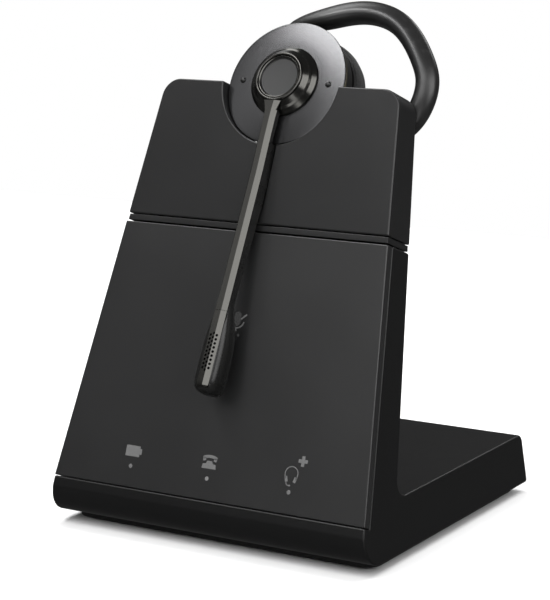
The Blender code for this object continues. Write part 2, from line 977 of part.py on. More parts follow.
def make_dock_contacts():
    for n, x in enumerate(pin_places):
        tip = -math.sqrt(housing_radius**2 - x**2) - pin_tip_gap
        pin = cylinder(
            f"contact_pin_{n + 1}", pin_radius, -pin_length, 0.0, (0.0, 0.0), headset_frame, gold, 12
        )
        pin.rotation_euler = (-math.pi / 2, 0.0, 0.0)
        pin.location = (x, tip, pin_height)
    carrier = box(
        "contact_carrier",
        (-carrier_half_width, carrier_low, -0.0062),
        (carrier_half_width, carrier_high, pin_height + pin_radius + 0.0006),
        headset_frame,
        dark_plastic,
    )
    relief = box(
        "carrier_relief",
        (-groove_half_width_top - groove_rib - fit_gap, carrier_low - past, -0.0053),
        (groove_half_width_top + groove_rib + fit_gap, carrier_high + past, 0.002),
        headset_frame,
    )
    cut(carrier, relief)
    wells_low = carrier_low + 0.0013
    wells = pin_bars("pin_wells", pin_radius + pin_clearance, wells_low, carrier_high + past)
    cut(carrier, wells)
    board_high = carrier_low - fit_gap
    box(
        "contact_board",
        (-carrier_half_width - 0.0010, board_high - 0.0010, -0.0068),
        (carrier_half_width + 0.0010, board_high, -0.0053),
        headset_frame,
        board_green,
    )
    magnet_high = board_high - 0.0027
    box(
        "dock_magnet",
        (-0.0060, magnet_high - 0.0050, -0.0084),
        (0.0060, magnet_high, -0.0057),
        headset_frame,
        steel,
    )


# Headset --------------------------------------------------------------------------------------


def make_volume_rocker():
    edge = 0.0003
    rocker = turned(
        "volume_rocker",
        (
            (disc_hole_radius, 0.0),
            (disc_radius - edge, 0.0),
            (disc_radius, -edge),
            (disc_radius, -disc_thickness + edge),
            (disc_radius - edge, -disc_thickness),
            (disc_hole_radius, -disc_thickness),
        ),
        headset_frame,
        anodised,
        ring=True,
        steps=ring_steps,
    )
    bumps = joined_cylinders(
        "press_points",
        bump_radius,
        -disc_thickness / 2,
        bump_height,
        ((-bump_place, 0.0), (bump_place, 0.0)),
        headset_frame,
        steps=16,
    )
    cut(rocker, bumps, "UNION")


def make_button():
    turned(
        "call_button",
        (
            (0.0, button_top - button_dish),
            (button_face_radius, button_top - button_dish + 0.0001),
            (button_radius - 0.0005, button_top),
            (button_radius, button_top - 0.0002),
            (button_radius, button_flange_low),
            (button_face_radius, button_flange_low),
            (button_face_radius, 0.0006),
            (button_stem_radius, 0.0006),
            (button_stem_radius, button_foot),
            (0.0, button_foot),
        ),
        headset_frame,
        dark_plastic,
    )
    turned(
        "button_guide",
        (
            (button_face_radius + 0.0004, 0.0021),
            (button_radius, 0.0021),
            (button_radius, -0.0018),
            (button_face_radius + 0.0004, -0.0018),
        ),
        headset_frame,
        dark_plastic,
        ring=True,
    )


def make_boom():
    hub = turned(
        "boom_arm",
        (
            (hub_bore_radius, hub_top),
            (hub_rim_radius, hub_top),
            (hub_radius, hub_wall_top),
            (hub_radius, hub_skirt),
            (hub_cavity_radius, hub_skirt),
            (hub_cavity_radius, hub_roof - 0.0004),
            (hub_cavity_radius - 0.0006, hub_roof),
            (hub_bore_radius, hub_roof),
        ),
        headset_frame,
        gunmetal,
        ring=True,
        steps=ring_steps,
    )
    outline = (
        (arm_start, hub_top - 0.0001),
        (arm_start, hub_roof + 0.0010),
        (-hub_radius + 0.0008, hub_roof + 0.0003),
        (-hub_radius + 0.0003, arm_over_disc),
        (arm_deep_start, arm_over_disc),
        (arm_deep_start, arm_back(arm_deep_start)),
        (arm_deep_end, arm_back(arm_deep_end)),
        (strip_top, strip_floor),
        (arm_end, strip_floor),
        (arm_end, 0.0003),
        (arm_end + 0.0012, 0.0010),
        (arm_end + 0.0036, 0.0017),
        (arm_end + 0.0100, 0.0021),
        (-0.0670, 0.0022),
        (-0.0270, 0.0030),
    )
    arm = side_plate("arm_bar", outline, arm_half_width, headset_frame)
    for vertex in arm.data.vertices:
        if vertex.co.y < (arm_deep_end + strip_top) / 2:
            vertex.co.x *= strip_share
    cut(hub, arm, "UNION")
    inner = post_inner_radius + 0.0003
    outer = post_outer_radius - 0.0003
    ring_low = post_top + fit_gap
    ring_high = hub_roof - fit_gap
    turned(
        "boom_retaining_ring",
        ((inner, ring_high), (outer, ring_high), (outer, ring_low), (inner, ring_low)),
        headset_frame,
        steel,
        ring=True,
    )


def make_capsule():
    bm = bmesh.new()
    bmesh.ops.create_uvsphere(bm, u_segments=24, v_segments=14, radius=1.0)
    bmesh.ops.rotate(bm, verts=bm.verts, matrix=Matrix.Rotation(math.pi / 2, 3, "X"))
    bmesh.ops.scale(bm, verts=bm.verts, vec=capsule_half)
    bmesh.ops.translate(bm, verts=bm.verts, vec=(0.0, capsule_place, capsule_sink))
    mesh = bpy.data.meshes.new("mic_capsule")
    bm.to_mesh(mesh)
    bm.free()
    capsule = smooth(finish_object("mic_capsule", mesh, headset_frame, black_plastic))
    open_end = -0.060
    open_top = 0.006
    strip_half = arm_half_width * strip_share + fit_gap
    channel = box(
        "strip_channel",
        (-strip_half, arm_end - fit_gap, strip_floor - fit_gap),
        (strip_half, open_end, open_top),
        headset_frame,
    )
    cut(capsule, channel)
    socket = box(
        "arm_socket",
        (-arm_half_width - fit_gap, strip_top - fit_gap, arm_back_high),
        (arm_half_width + fit_gap, open_end, open_top),
        headset_frame,
    )
    cut(capsule, socket)
    well = joined_cylinders(
        "element_wells",
        mic_element_radius + pin_clearance,
        mic_element_low - fit_gap,
        strip_floor + past,
        mic_element_places,
        headset_frame,
        steps=16,
    )
    cut(capsule, well)
    numbered_cylinders(
        "mic_element",
        mic_element_radius,
        mic_element_low,
        mic_element_low + mic_element_height,
        mic_element_places,
        headset_frame,
        steel,
        steps=16,
    )
    numbered_cylinders(
        "mic_wind_screen",
        mic_element_radius,
        mic_element_low + mic_element_height + fit_gap,
        strip_floor - fit_gap,
        mic_element_places,
        headset_frame,
        soft_rubber,
        steps=16,
    )


def make_ring(name, inner, outer, high, low, skin, steps=ring_steps):
    profile = ((inner, high), (outer, high), (outer, low), (inner, low))
    return turned(name, profile, headset_frame, skin, ring=True, steps=steps)


def make_disc(name, radius, high, low, skin):
    return turned(name, ((0.0, high), (radius, high), (radius, low), (0.0, low)), headset_frame, skin)


def make_earpiece():
    inner_ring = trim_radius - 0.0011
    neck = inner_ring - fit_gap
    inner_skirt = skirt_radius - housing_wall
    floor = plate_top - housing_wall
    make_ring("trim_ring", inner_ring, trim_radius, plate_top, plate_top - trim_height, bronze_trim)
    housing = turned(
        "front_housing",
        (
            (post_inner_radius, post_top),
            (post_outer_radius, post_top),
            (post_outer_radius, plate_top),
            (neck, plate_top),
            (neck, band_top),
            (housing_radius, band_top),
            (housing_radius, band_bottom),
            (skirt_radius, band_bottom),
            (skirt_radius, skirt_bottom),
            (inner_skirt, skirt_bottom),
            (inner_skirt, floor),
            (post_inner_radius, floor),
        ),
        headset_frame,
        black_plastic,
        ring=True,
        steps=ring_steps,
    )
    pad_outer = housing_radius - 0.0001
    pad_inner = pad_outer - contact_depth
    for n, x in enumerate(pin_places):
        recess = box(
            f"contact_recess_{n + 1}",
            (x - contact_half_width - fit_gap, -housing_radius - past, pin_height - 0.0006),
            (x + contact_half_width + fit_gap, -housing_radius + 0.0026, pin_height + 0.0005),
            headset_frame,
        )
        cut(housing, recess)
    for n, x in enumerate(pin_places):
        high = pin_height + 0.0002
        low = pin_height - 0.0003
        pad = make_ring(f"charging_contact_{n + 1}", pad_inner, pad_outer, high, low, gold)
        keep = box(
            f"contact_keep_{n + 1}",
            (x - contact_half_width, -housing_radius - past, pin_height - past),
            (x + contact_half_width, -housing_radius + 0.0036, pin_height + past),
            headset_frame,
        )
        cut(pad, keep, "INTERSECT")
    make_rear_housing(inner_skirt)
    board_radius = inner_skirt - 0.0004
    board_low = board_top - earpiece_board_thickness
    make_disc("headset_board", board_radius, board_top, board_low, board_green)
    switch_low = board_top + fit_gap
    switch_high = button_foot - 0.0007
    cylinder("dome_switch", 0.0028, switch_low, switch_high, (0.0, 0.0), headset_frame, steel)
    half_x, half_y = battery_half
    low = (-half_x, -half_y, battery_low)
    high = (half_x, half_y, battery_high)
    box("battery", low, high, headset_frame, battery_wrap, bevel=0.0004)


def make_rear_housing(inner_skirt):
    """The part that holds the loudspeaker, screwed to the front housing's skirt."""
    inner = rear_radius - 0.0009
    floor = rear_low + 0.0008
    mouth = grille_radius + fit_gap
    turned(
        "rear_housing",
        (
            (inner, flange_top),
            (flange_radius, flange_top),
            (flange_radius, flange_low),
            (rear_radius, flange_low),
            (rear_radius, rear_low),
            (mouth, rear_low),
            (mouth, floor),
            (inner, floor),
        ),
        headset_frame,
        black_plastic,
        ring=True,
        steps=ring_steps,
    )
    turned(
        "speaker_grille",
        (
            (0.0, grille_top),
            (grille_radius, grille_top),
            (grille_radius, grille_top - 0.0005),
            (0.0, grille_top - 0.0009),
        ),
        headset_frame,
        steel,
    )
    basket_radius = inner - 0.0005
    basket_high = flange_top - 0.0005
    magnet_radius = 0.0065
    turned(
        "speaker_basket",
        (
            (magnet_radius + fit_gap, basket_high),
            (basket_radius, basket_high),
            (basket_radius, basket_high - 0.0023),
            (basket_radius - 0.0013, basket_high - 0.0023),
            (basket_radius - 0.0013, basket_high - 0.0009),
            (magnet_radius + fit_gap, basket_high - 0.0009),
        ),
        headset_frame,
        steel,
        ring=True,
    )
    make_disc("speaker_magnet", magnet_radius, battery_low - 0.0004, basket_high - 0.0013, steel)
    cone = basket_radius - 0.0002
    edge = basket_high - 0.0027
    turned(
        "speaker_diaphragm",
        (
            (0.0, edge + 0.0011),
            (cone * 0.45, edge + 0.0006),
            (cone, edge),
            (cone, edge - 0.0004),
            (cone * 0.45, edge + 0.0002),
            (0.0, edge + 0.0007),
        ),
        headset_frame,
        dark_plastic,
    )


def make_cushion():
    """A soft ring with a squarish round section, drawn as a coarse closed profile."""
    middle = (cushion_front + cushion_back) / 2
    half_height = (cushion_front - cushion_back) / 2
    half_wide = cushion_width / 2
    centre = cushion_radius - half_wide
    profile = []
    count = 12
    fullness = 0.7
    for n in range(count):
        angle = math.pi / 2 - 2 * math.pi * n / count
        across = math.copysign(abs(math.cos(angle)) ** fullness, math.cos(angle))
        along = math.copysign(abs(math.sin(angle)) ** fullness, math.sin(angle))
        profile.append((centre + half_wide * across, middle + half_height * along))
    turned("ear_cushion", profile, headset_frame, leatherette, ring=True, steps=40)


def make_hook():
    inner = skirt_radius + fit_gap
    collar = make_ring("hook_collar", inner, collar_radius, collar_top, collar_low, black_plastic)
    root_y = collar_radius + hook_points[1][1]
    lug_top = root_y - hook_points[1][3] * hook_thickness / 2 - fit_gap
    low = (lug_left, inner + 0.0006, collar_low)
    high = (lug_right, lug_top, collar_top)
    cut(collar, box("collar_lug", low, high, headset_frame), "UNION")
    curve = bpy.data.curves.new("ear_hook", "CURVE")
    curve.dimensions = "3D"
    curve.bevel_depth = hook_thickness / 2
    curve.bevel_resolution = 2
    curve.use_fill_caps = True
    points = smooth_route(hook_points, 2)
    spline = curve.splines.new("POLY")
    spline.points.add(len(points) - 1)
    for point, (x, y, z, share) in zip(spline.points, points):
        point.co = (x, y + collar_radius, z, 1.0)
        point.radius = share
    curve.materials.append(soft_rubber)
    hook = bpy.data.objects.new("ear_hook", curve)
    hook.parent = headset_frame
    parts.objects.link(hook)


def smooth_route(points, steps):
    """A curve through every point, with this many steps between two of them."""
    route = []
    last = len(points) - 1
    for n in range(last):
        p0 = Vector(points[max(n - 1, 0)])
        p1 = Vector(points[n])
        p2 = Vector(points[n + 1])
        p3 = Vector(points[min(n + 2, last)])
        for k in range(steps):
            t = k / steps
            bend = 2 * p0 - 5 * p1 + 4 * p2 - p3
            twist = -p0 + 3 * p1 - 3 * p2 + p3
            route.append(0.5 * (2 * p1 + (p2 - p0) * t + bend * t * t + twist * t * t * t))
    route.append(Vector(points[last]))
    return [tuple(point) for point in route]


make_body_shell()
make_bottom_plate()
make_main_board()
make_ballast()
make_sockets()
make_touch_panel()
make_seam_band()
make_dock_cap()
make_dock_contacts()
make_volume_rocker()
make_button()
make_boom()
make_capsule()
make_earpiece()
make_cushion()
make_hook()
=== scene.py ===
import json
import math

import bmesh
import bpy
from mathutils import Matrix, Vector, noise


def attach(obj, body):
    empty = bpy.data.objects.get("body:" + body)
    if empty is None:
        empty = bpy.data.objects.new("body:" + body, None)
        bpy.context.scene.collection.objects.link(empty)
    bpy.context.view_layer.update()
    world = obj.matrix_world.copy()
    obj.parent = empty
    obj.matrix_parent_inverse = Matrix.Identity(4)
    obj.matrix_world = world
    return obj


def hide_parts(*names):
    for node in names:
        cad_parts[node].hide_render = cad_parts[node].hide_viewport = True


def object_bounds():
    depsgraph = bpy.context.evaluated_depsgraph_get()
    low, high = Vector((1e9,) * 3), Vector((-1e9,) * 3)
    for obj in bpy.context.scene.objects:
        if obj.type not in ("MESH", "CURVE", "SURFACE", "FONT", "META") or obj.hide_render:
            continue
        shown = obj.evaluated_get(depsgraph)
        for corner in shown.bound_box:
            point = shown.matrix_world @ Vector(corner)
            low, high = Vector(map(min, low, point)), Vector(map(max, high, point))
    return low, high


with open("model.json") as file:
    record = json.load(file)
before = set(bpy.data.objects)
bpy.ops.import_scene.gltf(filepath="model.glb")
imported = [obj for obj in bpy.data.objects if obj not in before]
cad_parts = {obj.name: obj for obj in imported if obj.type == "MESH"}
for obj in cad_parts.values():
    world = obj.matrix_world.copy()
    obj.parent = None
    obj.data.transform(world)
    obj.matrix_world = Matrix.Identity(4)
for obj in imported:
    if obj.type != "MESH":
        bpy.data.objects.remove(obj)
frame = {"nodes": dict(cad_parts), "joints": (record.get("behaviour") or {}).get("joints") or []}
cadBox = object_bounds()
print("frame loaded:", len(frame["nodes"]), "solids")

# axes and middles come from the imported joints
joints = {joint["name"]: joint for joint in frame["joints"]}
sideways = Vector((1.0, 0.0, 0.0))
discMiddle = Vector(joints["boom_swivel"]["pos_m"])
discOut = Vector(joints["boom_swivel"]["axis"]).normalized()
discUp = Vector(joints["volume_rock"]["axis"]).normalized()
panelUp = Vector(joints["headset_lift"]["axis"]).normalized()
panelOut = sideways.cross(panelUp)

stand = {
    "halfWidth": 0.0500,      # at the seam under the touch panel
    "draft": 0.1133,          # loss of half width for each metre of height
    "depth": 0.0967,
    "chinBulge": 0.0008,
    "bottom": -0.0114,        # heights are from the seam
    "footTop": 0.0031,
    "rearDraft": 0.0010,
    "edge": 0.00055,
    "browDrop": -0.0028,      # the chin is fullest this far under the seam
    "browRadius": 0.0030,
    "chinRadius": 0.0072,
    "heelRadius": 0.0010,
    "rearRadius": 0.0022,
    "insideRadius": 0.0040,   # where the slab meets the foot
}
slab = {
    "height": 0.11623,
    "topDepth": 0.0094,
    "backSlope": 0.0583,
    "plate": 0.0025,
    "plateTop": 0.0742,
    "bandLow": 0.07468,
    "bandHigh": 0.07632,
    "capLow": 0.0766,
    "capCorner": 0.0055,
    "discPlace": 0.11735,
    "discSink": 0.00253,
}
seamPoint = discMiddle - panelUp * slab["discPlace"] + panelOut * slab["discSink"]


def axesAt(origin, xAxis, yAxis, zAxis):
    made = Matrix.Identity(4)
    for column, axis in enumerate((xAxis, yAxis, zAxis, origin)):
        for row in range(3):
            made[row][column] = axis[row]
    return made


panelFrame = axesAt(seamPoint, sideways, panelUp, panelOut)
baseFrame = Matrix.Translation(seamPoint)
headFrame = axesAt(discMiddle, sideways, discUp, discOut)


class Wire:
    # a shader socket that can stand in a sum
    def __init__(self, tree, socket=None):
        self.tree = tree
        self.socket = socket

    def node(self, kind, settings=(), inputs=(), out=0):
        made = self.tree.nodes.new("ShaderNode" + kind)
        for key, value in dict(settings).items():
            setattr(made, key, value)
        for key, value in dict(inputs).items():
            if isinstance(value, Wire):
                self.tree.links.new(value.socket, made.inputs[key])
            else:
                made.inputs[key].default_value = value
        return Wire(self.tree, made.outputs[out])

    def math(self, operation, first, second=0.0):
        return self.node("Math", {"operation": operation}, {0: first, 1: second})

    def __add__(self, other):
        return self.math("ADD", self, other)

    def __rsub__(self, other):
        return self.math("SUBTRACT", other, self)

    def __mul__(self, other):
        return self.math("MULTIPLY", self, other)

    __radd__ = __add__
    __rmul__ = __mul__

    def above(self, limit, softness):
        steps = {"interpolation_type": "SMOOTHSTEP"}
        return self.node("MapRange", steps, {0: self, 1: limit - softness, 2: limit + softness})


def shader(name, look):
    # one Principled finish; numbers that are the same all over sit on its own sockets
    finish = bpy.data.materials.new(name)
    finish.use_nodes = True
    tree = finish.node_tree
    core = tree.nodes["Principled BSDF"]
    core.inputs["Base Color"].default_value = (*look["color"], 1.0)
    core.inputs["Roughness"].default_value = look["roughness"]
    core.inputs["Metallic"].default_value = look.get("metallic", 0.0)
    core.inputs["Specular IOR Level"].default_value = look.get("specular", 0.5)
    core.inputs["Coat Weight"].default_value = look.get("coat", 0.0)
    core.inputs["Coat Roughness"].default_value = look.get("coatRoughness", 0.1)
    core.inputs["Sheen Weight"].default_value = look.get("sheen", 0.0)
    core.inputs["Sheen Roughness"].default_value = 0.5
    return finish, Wire(tree), core


def feed(wire, core, socketName):
    wire.tree.links.new(wire.socket, core.inputs[socketName])


def place(root):
    return root.node("TexCoord", out=3)


def speckle(root, scale, detail=2.0, stretch=(1.0, 1.0, 1.0)):
    spot = root.node("Mapping", {}, {0: place(root), 3: stretch})
    return root.node("TexNoise", {}, {"Vector": spot, "Scale": scale, "Detail": detail})


def tint(root, amount, dark, light):
    return root.node(
        "Mix", {"data_type": "RGBA"}, {0: amount, 6: (*dark, 1.0), 7: (*light, 1.0)}, out=2
    )


def relief(root, core, height, depth, strength=1.0):
    bump = root.node("Bump", {}, {"Strength": strength, "Distance": depth, "Height": height})
    feed(bump, core, "Normal")


def shaded(color, share):
    return tuple(min(1.0, part * share) for part in color)


def mouldedPlastic(name, look):
    # spark-eroded grain, a slow drift of tone and a few handling marks
    finish, root, core = shader(name, look)
    grain = speckle(root, look["grainScale"], 3.0)
    drift = speckle(root, 45.0, 2.0)
    marks = speckle(root, 900.0, 4.0, (1.0, 0.12, 1.0)).above(0.68, 0.05)
    color = look["color"]
    feed(tint(root, grain * 0.7 + drift * 0.3, shaded(color, 0.8), shaded(color, 1.2)), core, "Base Color")
    feed(grain * 0.10 + drift * 0.08 + marks * 0.03 + (look["roughness"] - 0.09), core, "Roughness")
    relief(root, core, grain, look["grainDepth"])
    return finish


def polishedPlastic(name, look):
    # clear gloss with faint moulding ripple and smudges
    finish, root, core = shader(name, look)
    smudge = speckle(root, 160.0, 3.0).above(0.55, 0.12)
    ripple = speckle(root, 330.0, 1.0)
    feed(tint(root, smudge, look["color"], shaded(look["color"], 1.35)), core, "Base Color")
    feed(smudge * 0.07 + look["roughness"], core, "Roughness")
    relief(root, core, ripple, look.get("grainDepth", 0.000004))
    return finish


def metalFinish(name, look):
    # bead-blasted or polished metal: sparkle in the tone, fine lines in the polish
    finish, root, core = shader(name, look)
    sparkle = speckle(root, look["grainScale"], 2.0)
    lines = speckle(root, look["grainScale"] * 0.35, 3.0, look.get("lines", (1.0, 1.0, 1.0)))
    cloud = speckle(root, 70.0, 2.0)
    spread = look.get("spread", 0.2)
    mixed = sparkle * 0.6 + cloud * 0.4
    low = shaded(look["color"], 1 - spread)
    high = shaded(look["color"], 1 + spread)
    feed(tint(root, mixed, low, high), core, "Base Color")
    feed(lines * 0.12 + sparkle * 0.06 + (look["roughness"] - 0.08), core, "Roughness")
    relief(root, core, sparkle + lines, look["grainDepth"])
    return finish


def softRubber(name, look):
    # matte elastomer: dry skin, dust in the pores
    finish, root, core = shader(name, look)
    pores = speckle(root, look["grainScale"], 4.0)
    dust = speckle(root, 420.0, 4.0).above(0.62, 0.08)
    low = shaded(look["color"], 0.85)
    high = shaded(look["color"], 1.25)
    feed(tint(root, pores * 0.6 + dust * 0.4, low, high), core, "Base Color")
    feed(pores * 0.12 + dust * 0.10 + (look["roughness"] - 0.08), core, "Roughness")
    relief(root, core, pores, look["grainDepth"])
    return finish


def leatherFinish(name, look):
    # pebbled leatherette: rounded cells with creases between them; the colour is painted darker in the
    # creases, a painted shade, and drifts with the fold noise
    finish, root, core = shader(name, look)
    spot = place(root)
    cells = root.node("TexVoronoi", {"feature": "DISTANCE_TO_EDGE"}, {"Vector": spot, "Scale": 1500.0})
    pebbles = cells.above(0.10, 0.09)
    folds = speckle(root, 380.0, 3.0)
    low = shaded(look["color"], 0.6)
    high = shaded(look["color"], 1.2)
    feed(tint(root, pebbles * 0.7 + folds * 0.3, low, high), core, "Base Color")
    feed(folds * 0.15 + (0.12 - pebbles * 0.12) + (look["roughness"] - 0.08), core, "Roughness")
    relief(root, core, pebbles * 0.7 + folds * 0.6, look["grainDepth"])
    return finish


def boardFinish(name, look):
    # solder mask with copper tracks under it and tinned pads
    finish, root, core = shader(name, look)
    spot = place(root)
    tracks = root.node(
        "TexBrick",
        {"offset": 0.37, "squash": 0.6},
        {"Vector": spot, "Scale": 260.0, "Mortar Size": 0.03, "Brick Width": 0.9, "Row Height": 0.3},
        out=1,
    )
    dots = root.node("TexVoronoi", {}, {"Vector": spot, "Scale": 420.0})
    pads = 1 - dots.above(0.20, 0.03)
    base = tint(root, tracks, look["color"], shaded(look["color"], 1.9))
    mixed = root.node("Mix", {"data_type": "RGBA"}, {0: pads, 6: base, 7: (0.55, 0.53, 0.48, 1.0)}, out=2)
    feed(mixed, core, "Base Color")
    feed(pads * 0.8, core, "Metallic")
    relief(root, core, tracks + pads * 2.0, 0.00002)
    return finish


looks = {
    "panelSkin": (mouldedPlastic, {
        "color": (0.0100, 0.0100, 0.0102), "roughness": 0.34, "specular": 0.62,
        "grainScale": 6500.0, "grainDepth": 0.000012}),
    "capSkin": (mouldedPlastic, {
        "color": (0.0076, 0.0076, 0.0078), "roughness": 0.34, "specular": 0.46,
        "grainScale": 6500.0, "grainDepth": 0.000012}),
    "bodySkin": (mouldedPlastic, {
        "color": (0.0036, 0.0036, 0.0037), "roughness": 0.38, "specular": 0.38,
        "grainScale": 5200.0, "grainDepth": 0.000014}),
    "undersideSkin": (mouldedPlastic, {
        "color": (0.010, 0.010, 0.010), "roughness": 0.62, "specular": 0.2,
        "grainScale": 3200.0, "grainDepth": 0.00003}),
    "darkInsert": (mouldedPlastic, {
        "color": (0.014, 0.014, 0.014), "roughness": 0.52, "specular": 0.4,
        "grainScale": 4000.0, "grainDepth": 0.00002}),
    "gunmetalSkin": (metalFinish, {
        "color": (0.064, 0.063, 0.059), "roughness": 0.15, "metallic": 0.97,
        "grainScale": 5000.0, "grainDepth": 0.000002, "spread": 0.06}),
    "discSkin": (metalFinish, {
        "color": (0.070, 0.070, 0.072), "roughness": 0.23, "metallic": 0.92,
        "grainScale": 9000.0, "grainDepth": 0.000003, "spread": 0.12}),
    # painted shade: near-black finish for the boom arm's flanks and back
    "boomShadow": (polishedPlastic, {
        "color": (0.009, 0.009, 0.0088), "roughness": 0.26, "specular": 0.45}),
    "capsuleSkin": (polishedPlastic, {
        "color": (0.006, 0.006, 0.0058), "roughness": 0.27, "specular": 0.36}),
    "earpieceSkin": (polishedPlastic, {
        "color": (0.007, 0.007, 0.007), "roughness": 0.30, "specular": 0.45}),
    "buttonSkin": (mouldedPlastic, {
        "color": (0.012, 0.012, 0.012), "roughness": 0.38, "specular": 0.4,
        "grainScale": 5200.0, "grainDepth": 0.000006}),
    "bronzeSkin": (metalFinish, {
        "color": (0.15, 0.14, 0.105), "roughness": 0.34, "metallic": 0.9,
        "grainScale": 5000.0, "grainDepth": 0.000004, "spread": 0.1}),
    "hookSkin": (softRubber, {
        "color": (0.010, 0.010, 0.010), "roughness": 0.34, "specular": 0.55,
        "grainScale": 5200.0, "grainDepth": 0.000008}),
    "footSkin": (softRubber, {
        "color": (0.018, 0.018, 0.018), "roughness": 0.75, "specular": 0.3,
        "grainScale": 3000.0, "grainDepth": 0.00003}),
    "cushionSkin": (leatherFinish, {
        "color": (0.024, 0.024, 0.024), "roughness": 0.55, "specular": 0.4,
        "sheen": 0.05, "grainDepth": 0.00006}),
    "steelSkin": (metalFinish, {
        "color": (0.52, 0.52, 0.50), "roughness": 0.34, "metallic": 1.0,
        "grainScale": 3000.0, "grainDepth": 0.000008, "lines": (1.0, 1.0, 0.08)}),
    "goldSkin": (metalFinish, {
        "color": (0.82, 0.60, 0.24), "roughness": 0.26, "metallic": 1.0,
        "grainScale": 4000.0, "grainDepth": 0.000004, "spread": 0.1}),
    "boardSkin": (boardFinish, {"color": (0.012, 0.09, 0.035), "roughness": 0.38}),
    "lensSkin": (polishedPlastic, {
        "color": (0.11, 0.11, 0.11), "roughness": 0.35, "specular": 0.5}),
    # painted shade: darker ink for the marks that lie in the boom's shadow
    "boomShadeInkSkin": (mouldedPlastic, {
        "color": (0.045, 0.045, 0.045), "roughness": 0.55, "specular": 0.3,
        "grainScale": 6500.0, "grainDepth": 0.000006}),
    "inkSkin": (mouldedPlastic, {
        "color": (0.112, 0.112, 0.112), "roughness": 0.55, "specular": 0.3,
        "grainScale": 6500.0, "grainDepth": 0.000006}),
    "foilSkin": (metalFinish, {
        "color": (0.34, 0.36, 0.40), "roughness": 0.40, "metallic": 0.7,
        "grainScale": 900.0, "grainDepth": 0.00004, "spread": 0.1}),
    "coneSkin": (softRubber, {
        "color": (0.02, 0.02, 0.02), "roughness": 0.7, "grainScale": 2400.0,
        "grainDepth": 0.00003}),
}
paints = {name: make(name, look) for name, (make, look) in looks.items()}
print("finishes made:", len(paints))


def roundedOutline(corners, steps=10):
    # corners are x, y and radius; each radius becomes an arc
    points = []
    count = len(corners)
    for n, (x, y, radius) in enumerate(corners):
        here = Vector((x, y))
        if radius == 0:
            points.append(here)
            continue
        toLast = (Vector(corners[n - 1][:2]) - here).normalized()
        toNext = (Vector(corners[(n + 1) % count][:2]) - here).normalized()
        half = toLast.angle(toNext) / 2
        reach = radius / math.tan(half)
        middle = here + (toLast + toNext).normalized() * (radius / math.sin(half))
        start = here + toLast * reach - middle
        turn = (here + toNext * reach - middle).angle_signed(start)
        for k in range(steps + 1):
            points.append(middle + Matrix.Rotation(turn * k / steps, 2) @ start)
    return points


def smoothRoute(points, steps):
    # a curve through every point, with this many steps between two of them
    route = []
    last = len(points) - 1
    for n in range(last):
        p0, p1 = Vector(points[max(n - 1, 0)]), Vector(points[n])
        p2, p3 = Vector(points[n + 1]), Vector(points[min(n + 2, last)])
        for k in range(steps):
            t = k / steps
            bend = 2 * p0 - 5 * p1 + 4 * p2 - p3
            twist = -p0 + 3 * p1 - 3 * p2 + p3
            route.append(0.5 * (2 * p1 + (p2 - p0) * t + bend * t * t + twist * t * t * t))
    route.append(Vector(points[last]))
    return route


def skinRings(rings, closed=False, capped=True):
    # faces between rings of equally many points; closed joins the last ring to the first
    bm = bmesh.new()
    rows = [[bm.verts.new(point) for point in ring] for ring in rings]
    count = len(rows[0])
    spans = list(zip(rows, rows[1:] + rows[:1] if closed else rows[1:]))
    for row, following in spans:
        for n in range(count):
            m = (n + 1) % count
            bm.faces.new((row[n], row[m], following[m], following[n]))
    if capped and not closed:
        bm.faces.new(reversed(rows[0]))
        bm.faces.new(rows[-1])
    bmesh.ops.remove_doubles(bm, verts=bm.verts, dist=0.0000005)
    bmesh.ops.dissolve_degenerate(bm, edges=bm.edges, dist=0.0000001)
    bmesh.ops.recalc_face_normals(bm, faces=bm.faces)
    return bm


def turnedForm(corners, steps=128, arcSteps=5):
    # corners are radius, height and rounding; points at radius 0 close on the axis
    outline = roundedOutline(corners, arcSteps)
    rings = []
    for k in range(steps):
        angle = 2 * math.pi * k / steps
        rings.append([(p.x * math.cos(angle), p.x * math.sin(angle), p.y) for p in outline])
    return skinRings(rings, closed=True)


def plateForm(outline, low, high):
    return skinRings([[(p[0], p[1], low) for p in outline], [(p[0], p[1], high) for p in outline]])


def blockForm(low, high):
    bm = bmesh.new()
    bmesh.ops.create_cube(bm, size=1.0)
    bmesh.ops.scale(bm, verts=bm.verts, vec=[b - a for a, b in zip(low, high)])
    bmesh.ops.translate(bm, verts=bm.verts, vec=[(a + b) / 2 for a, b in zip(low, high)])
    return bm


def boxAcross(x, half, depths, heights):
    # a block centred on x; depths and heights are each a low and a high
    return blockForm((x - half, depths[0], heights[0]), (x + half, depths[1], heights[1]))


def rodForm(radius, low, high, x=0.0, y=0.0, steps=24):
    bm = bmesh.new()
    bmesh.ops.create_cone(
        bm, cap_ends=True, segments=steps, radius1=radius, radius2=radius, depth=high - low
    )
    bmesh.ops.translate(bm, verts=bm.verts, vec=(x, y, (low + high) / 2))
    return bm


def layAlong(form, x, height):
    # tips an upright form over, to lie along the panel
    bmesh.ops.rotate(form, verts=form.verts, matrix=Matrix.Rotation(-math.pi / 2, 3, "X"))
    bmesh.ops.translate(form, verts=form.verts, vec=(x, 0.0, height))
    return form


def joinForms(forms):
    joined = bmesh.new()
    for form in forms:
        scratch = bpy.data.meshes.new("scratch")
        form.to_mesh(scratch)
        form.free()
        joined.from_mesh(scratch)
        bpy.data.meshes.remove(scratch)
    return joined


def looseObject(name, form, where):
    mesh = bpy.data.meshes.new(name)
    form.to_mesh(mesh)
    form.free()
    mesh.transform(where)
    obj = bpy.data.objects.new(name, mesh)
    bpy.context.scene.collection.objects.link(obj)
    return obj


def bakeDown(obj):
    # the modifiers' result becomes the mesh
    bpy.context.view_layer.update()
    graph = bpy.context.evaluated_depsgraph_get()
    settled = bpy.data.meshes.new_from_object(obj.evaluated_get(graph))
    obj.modifiers.clear()
    obj.data = settled


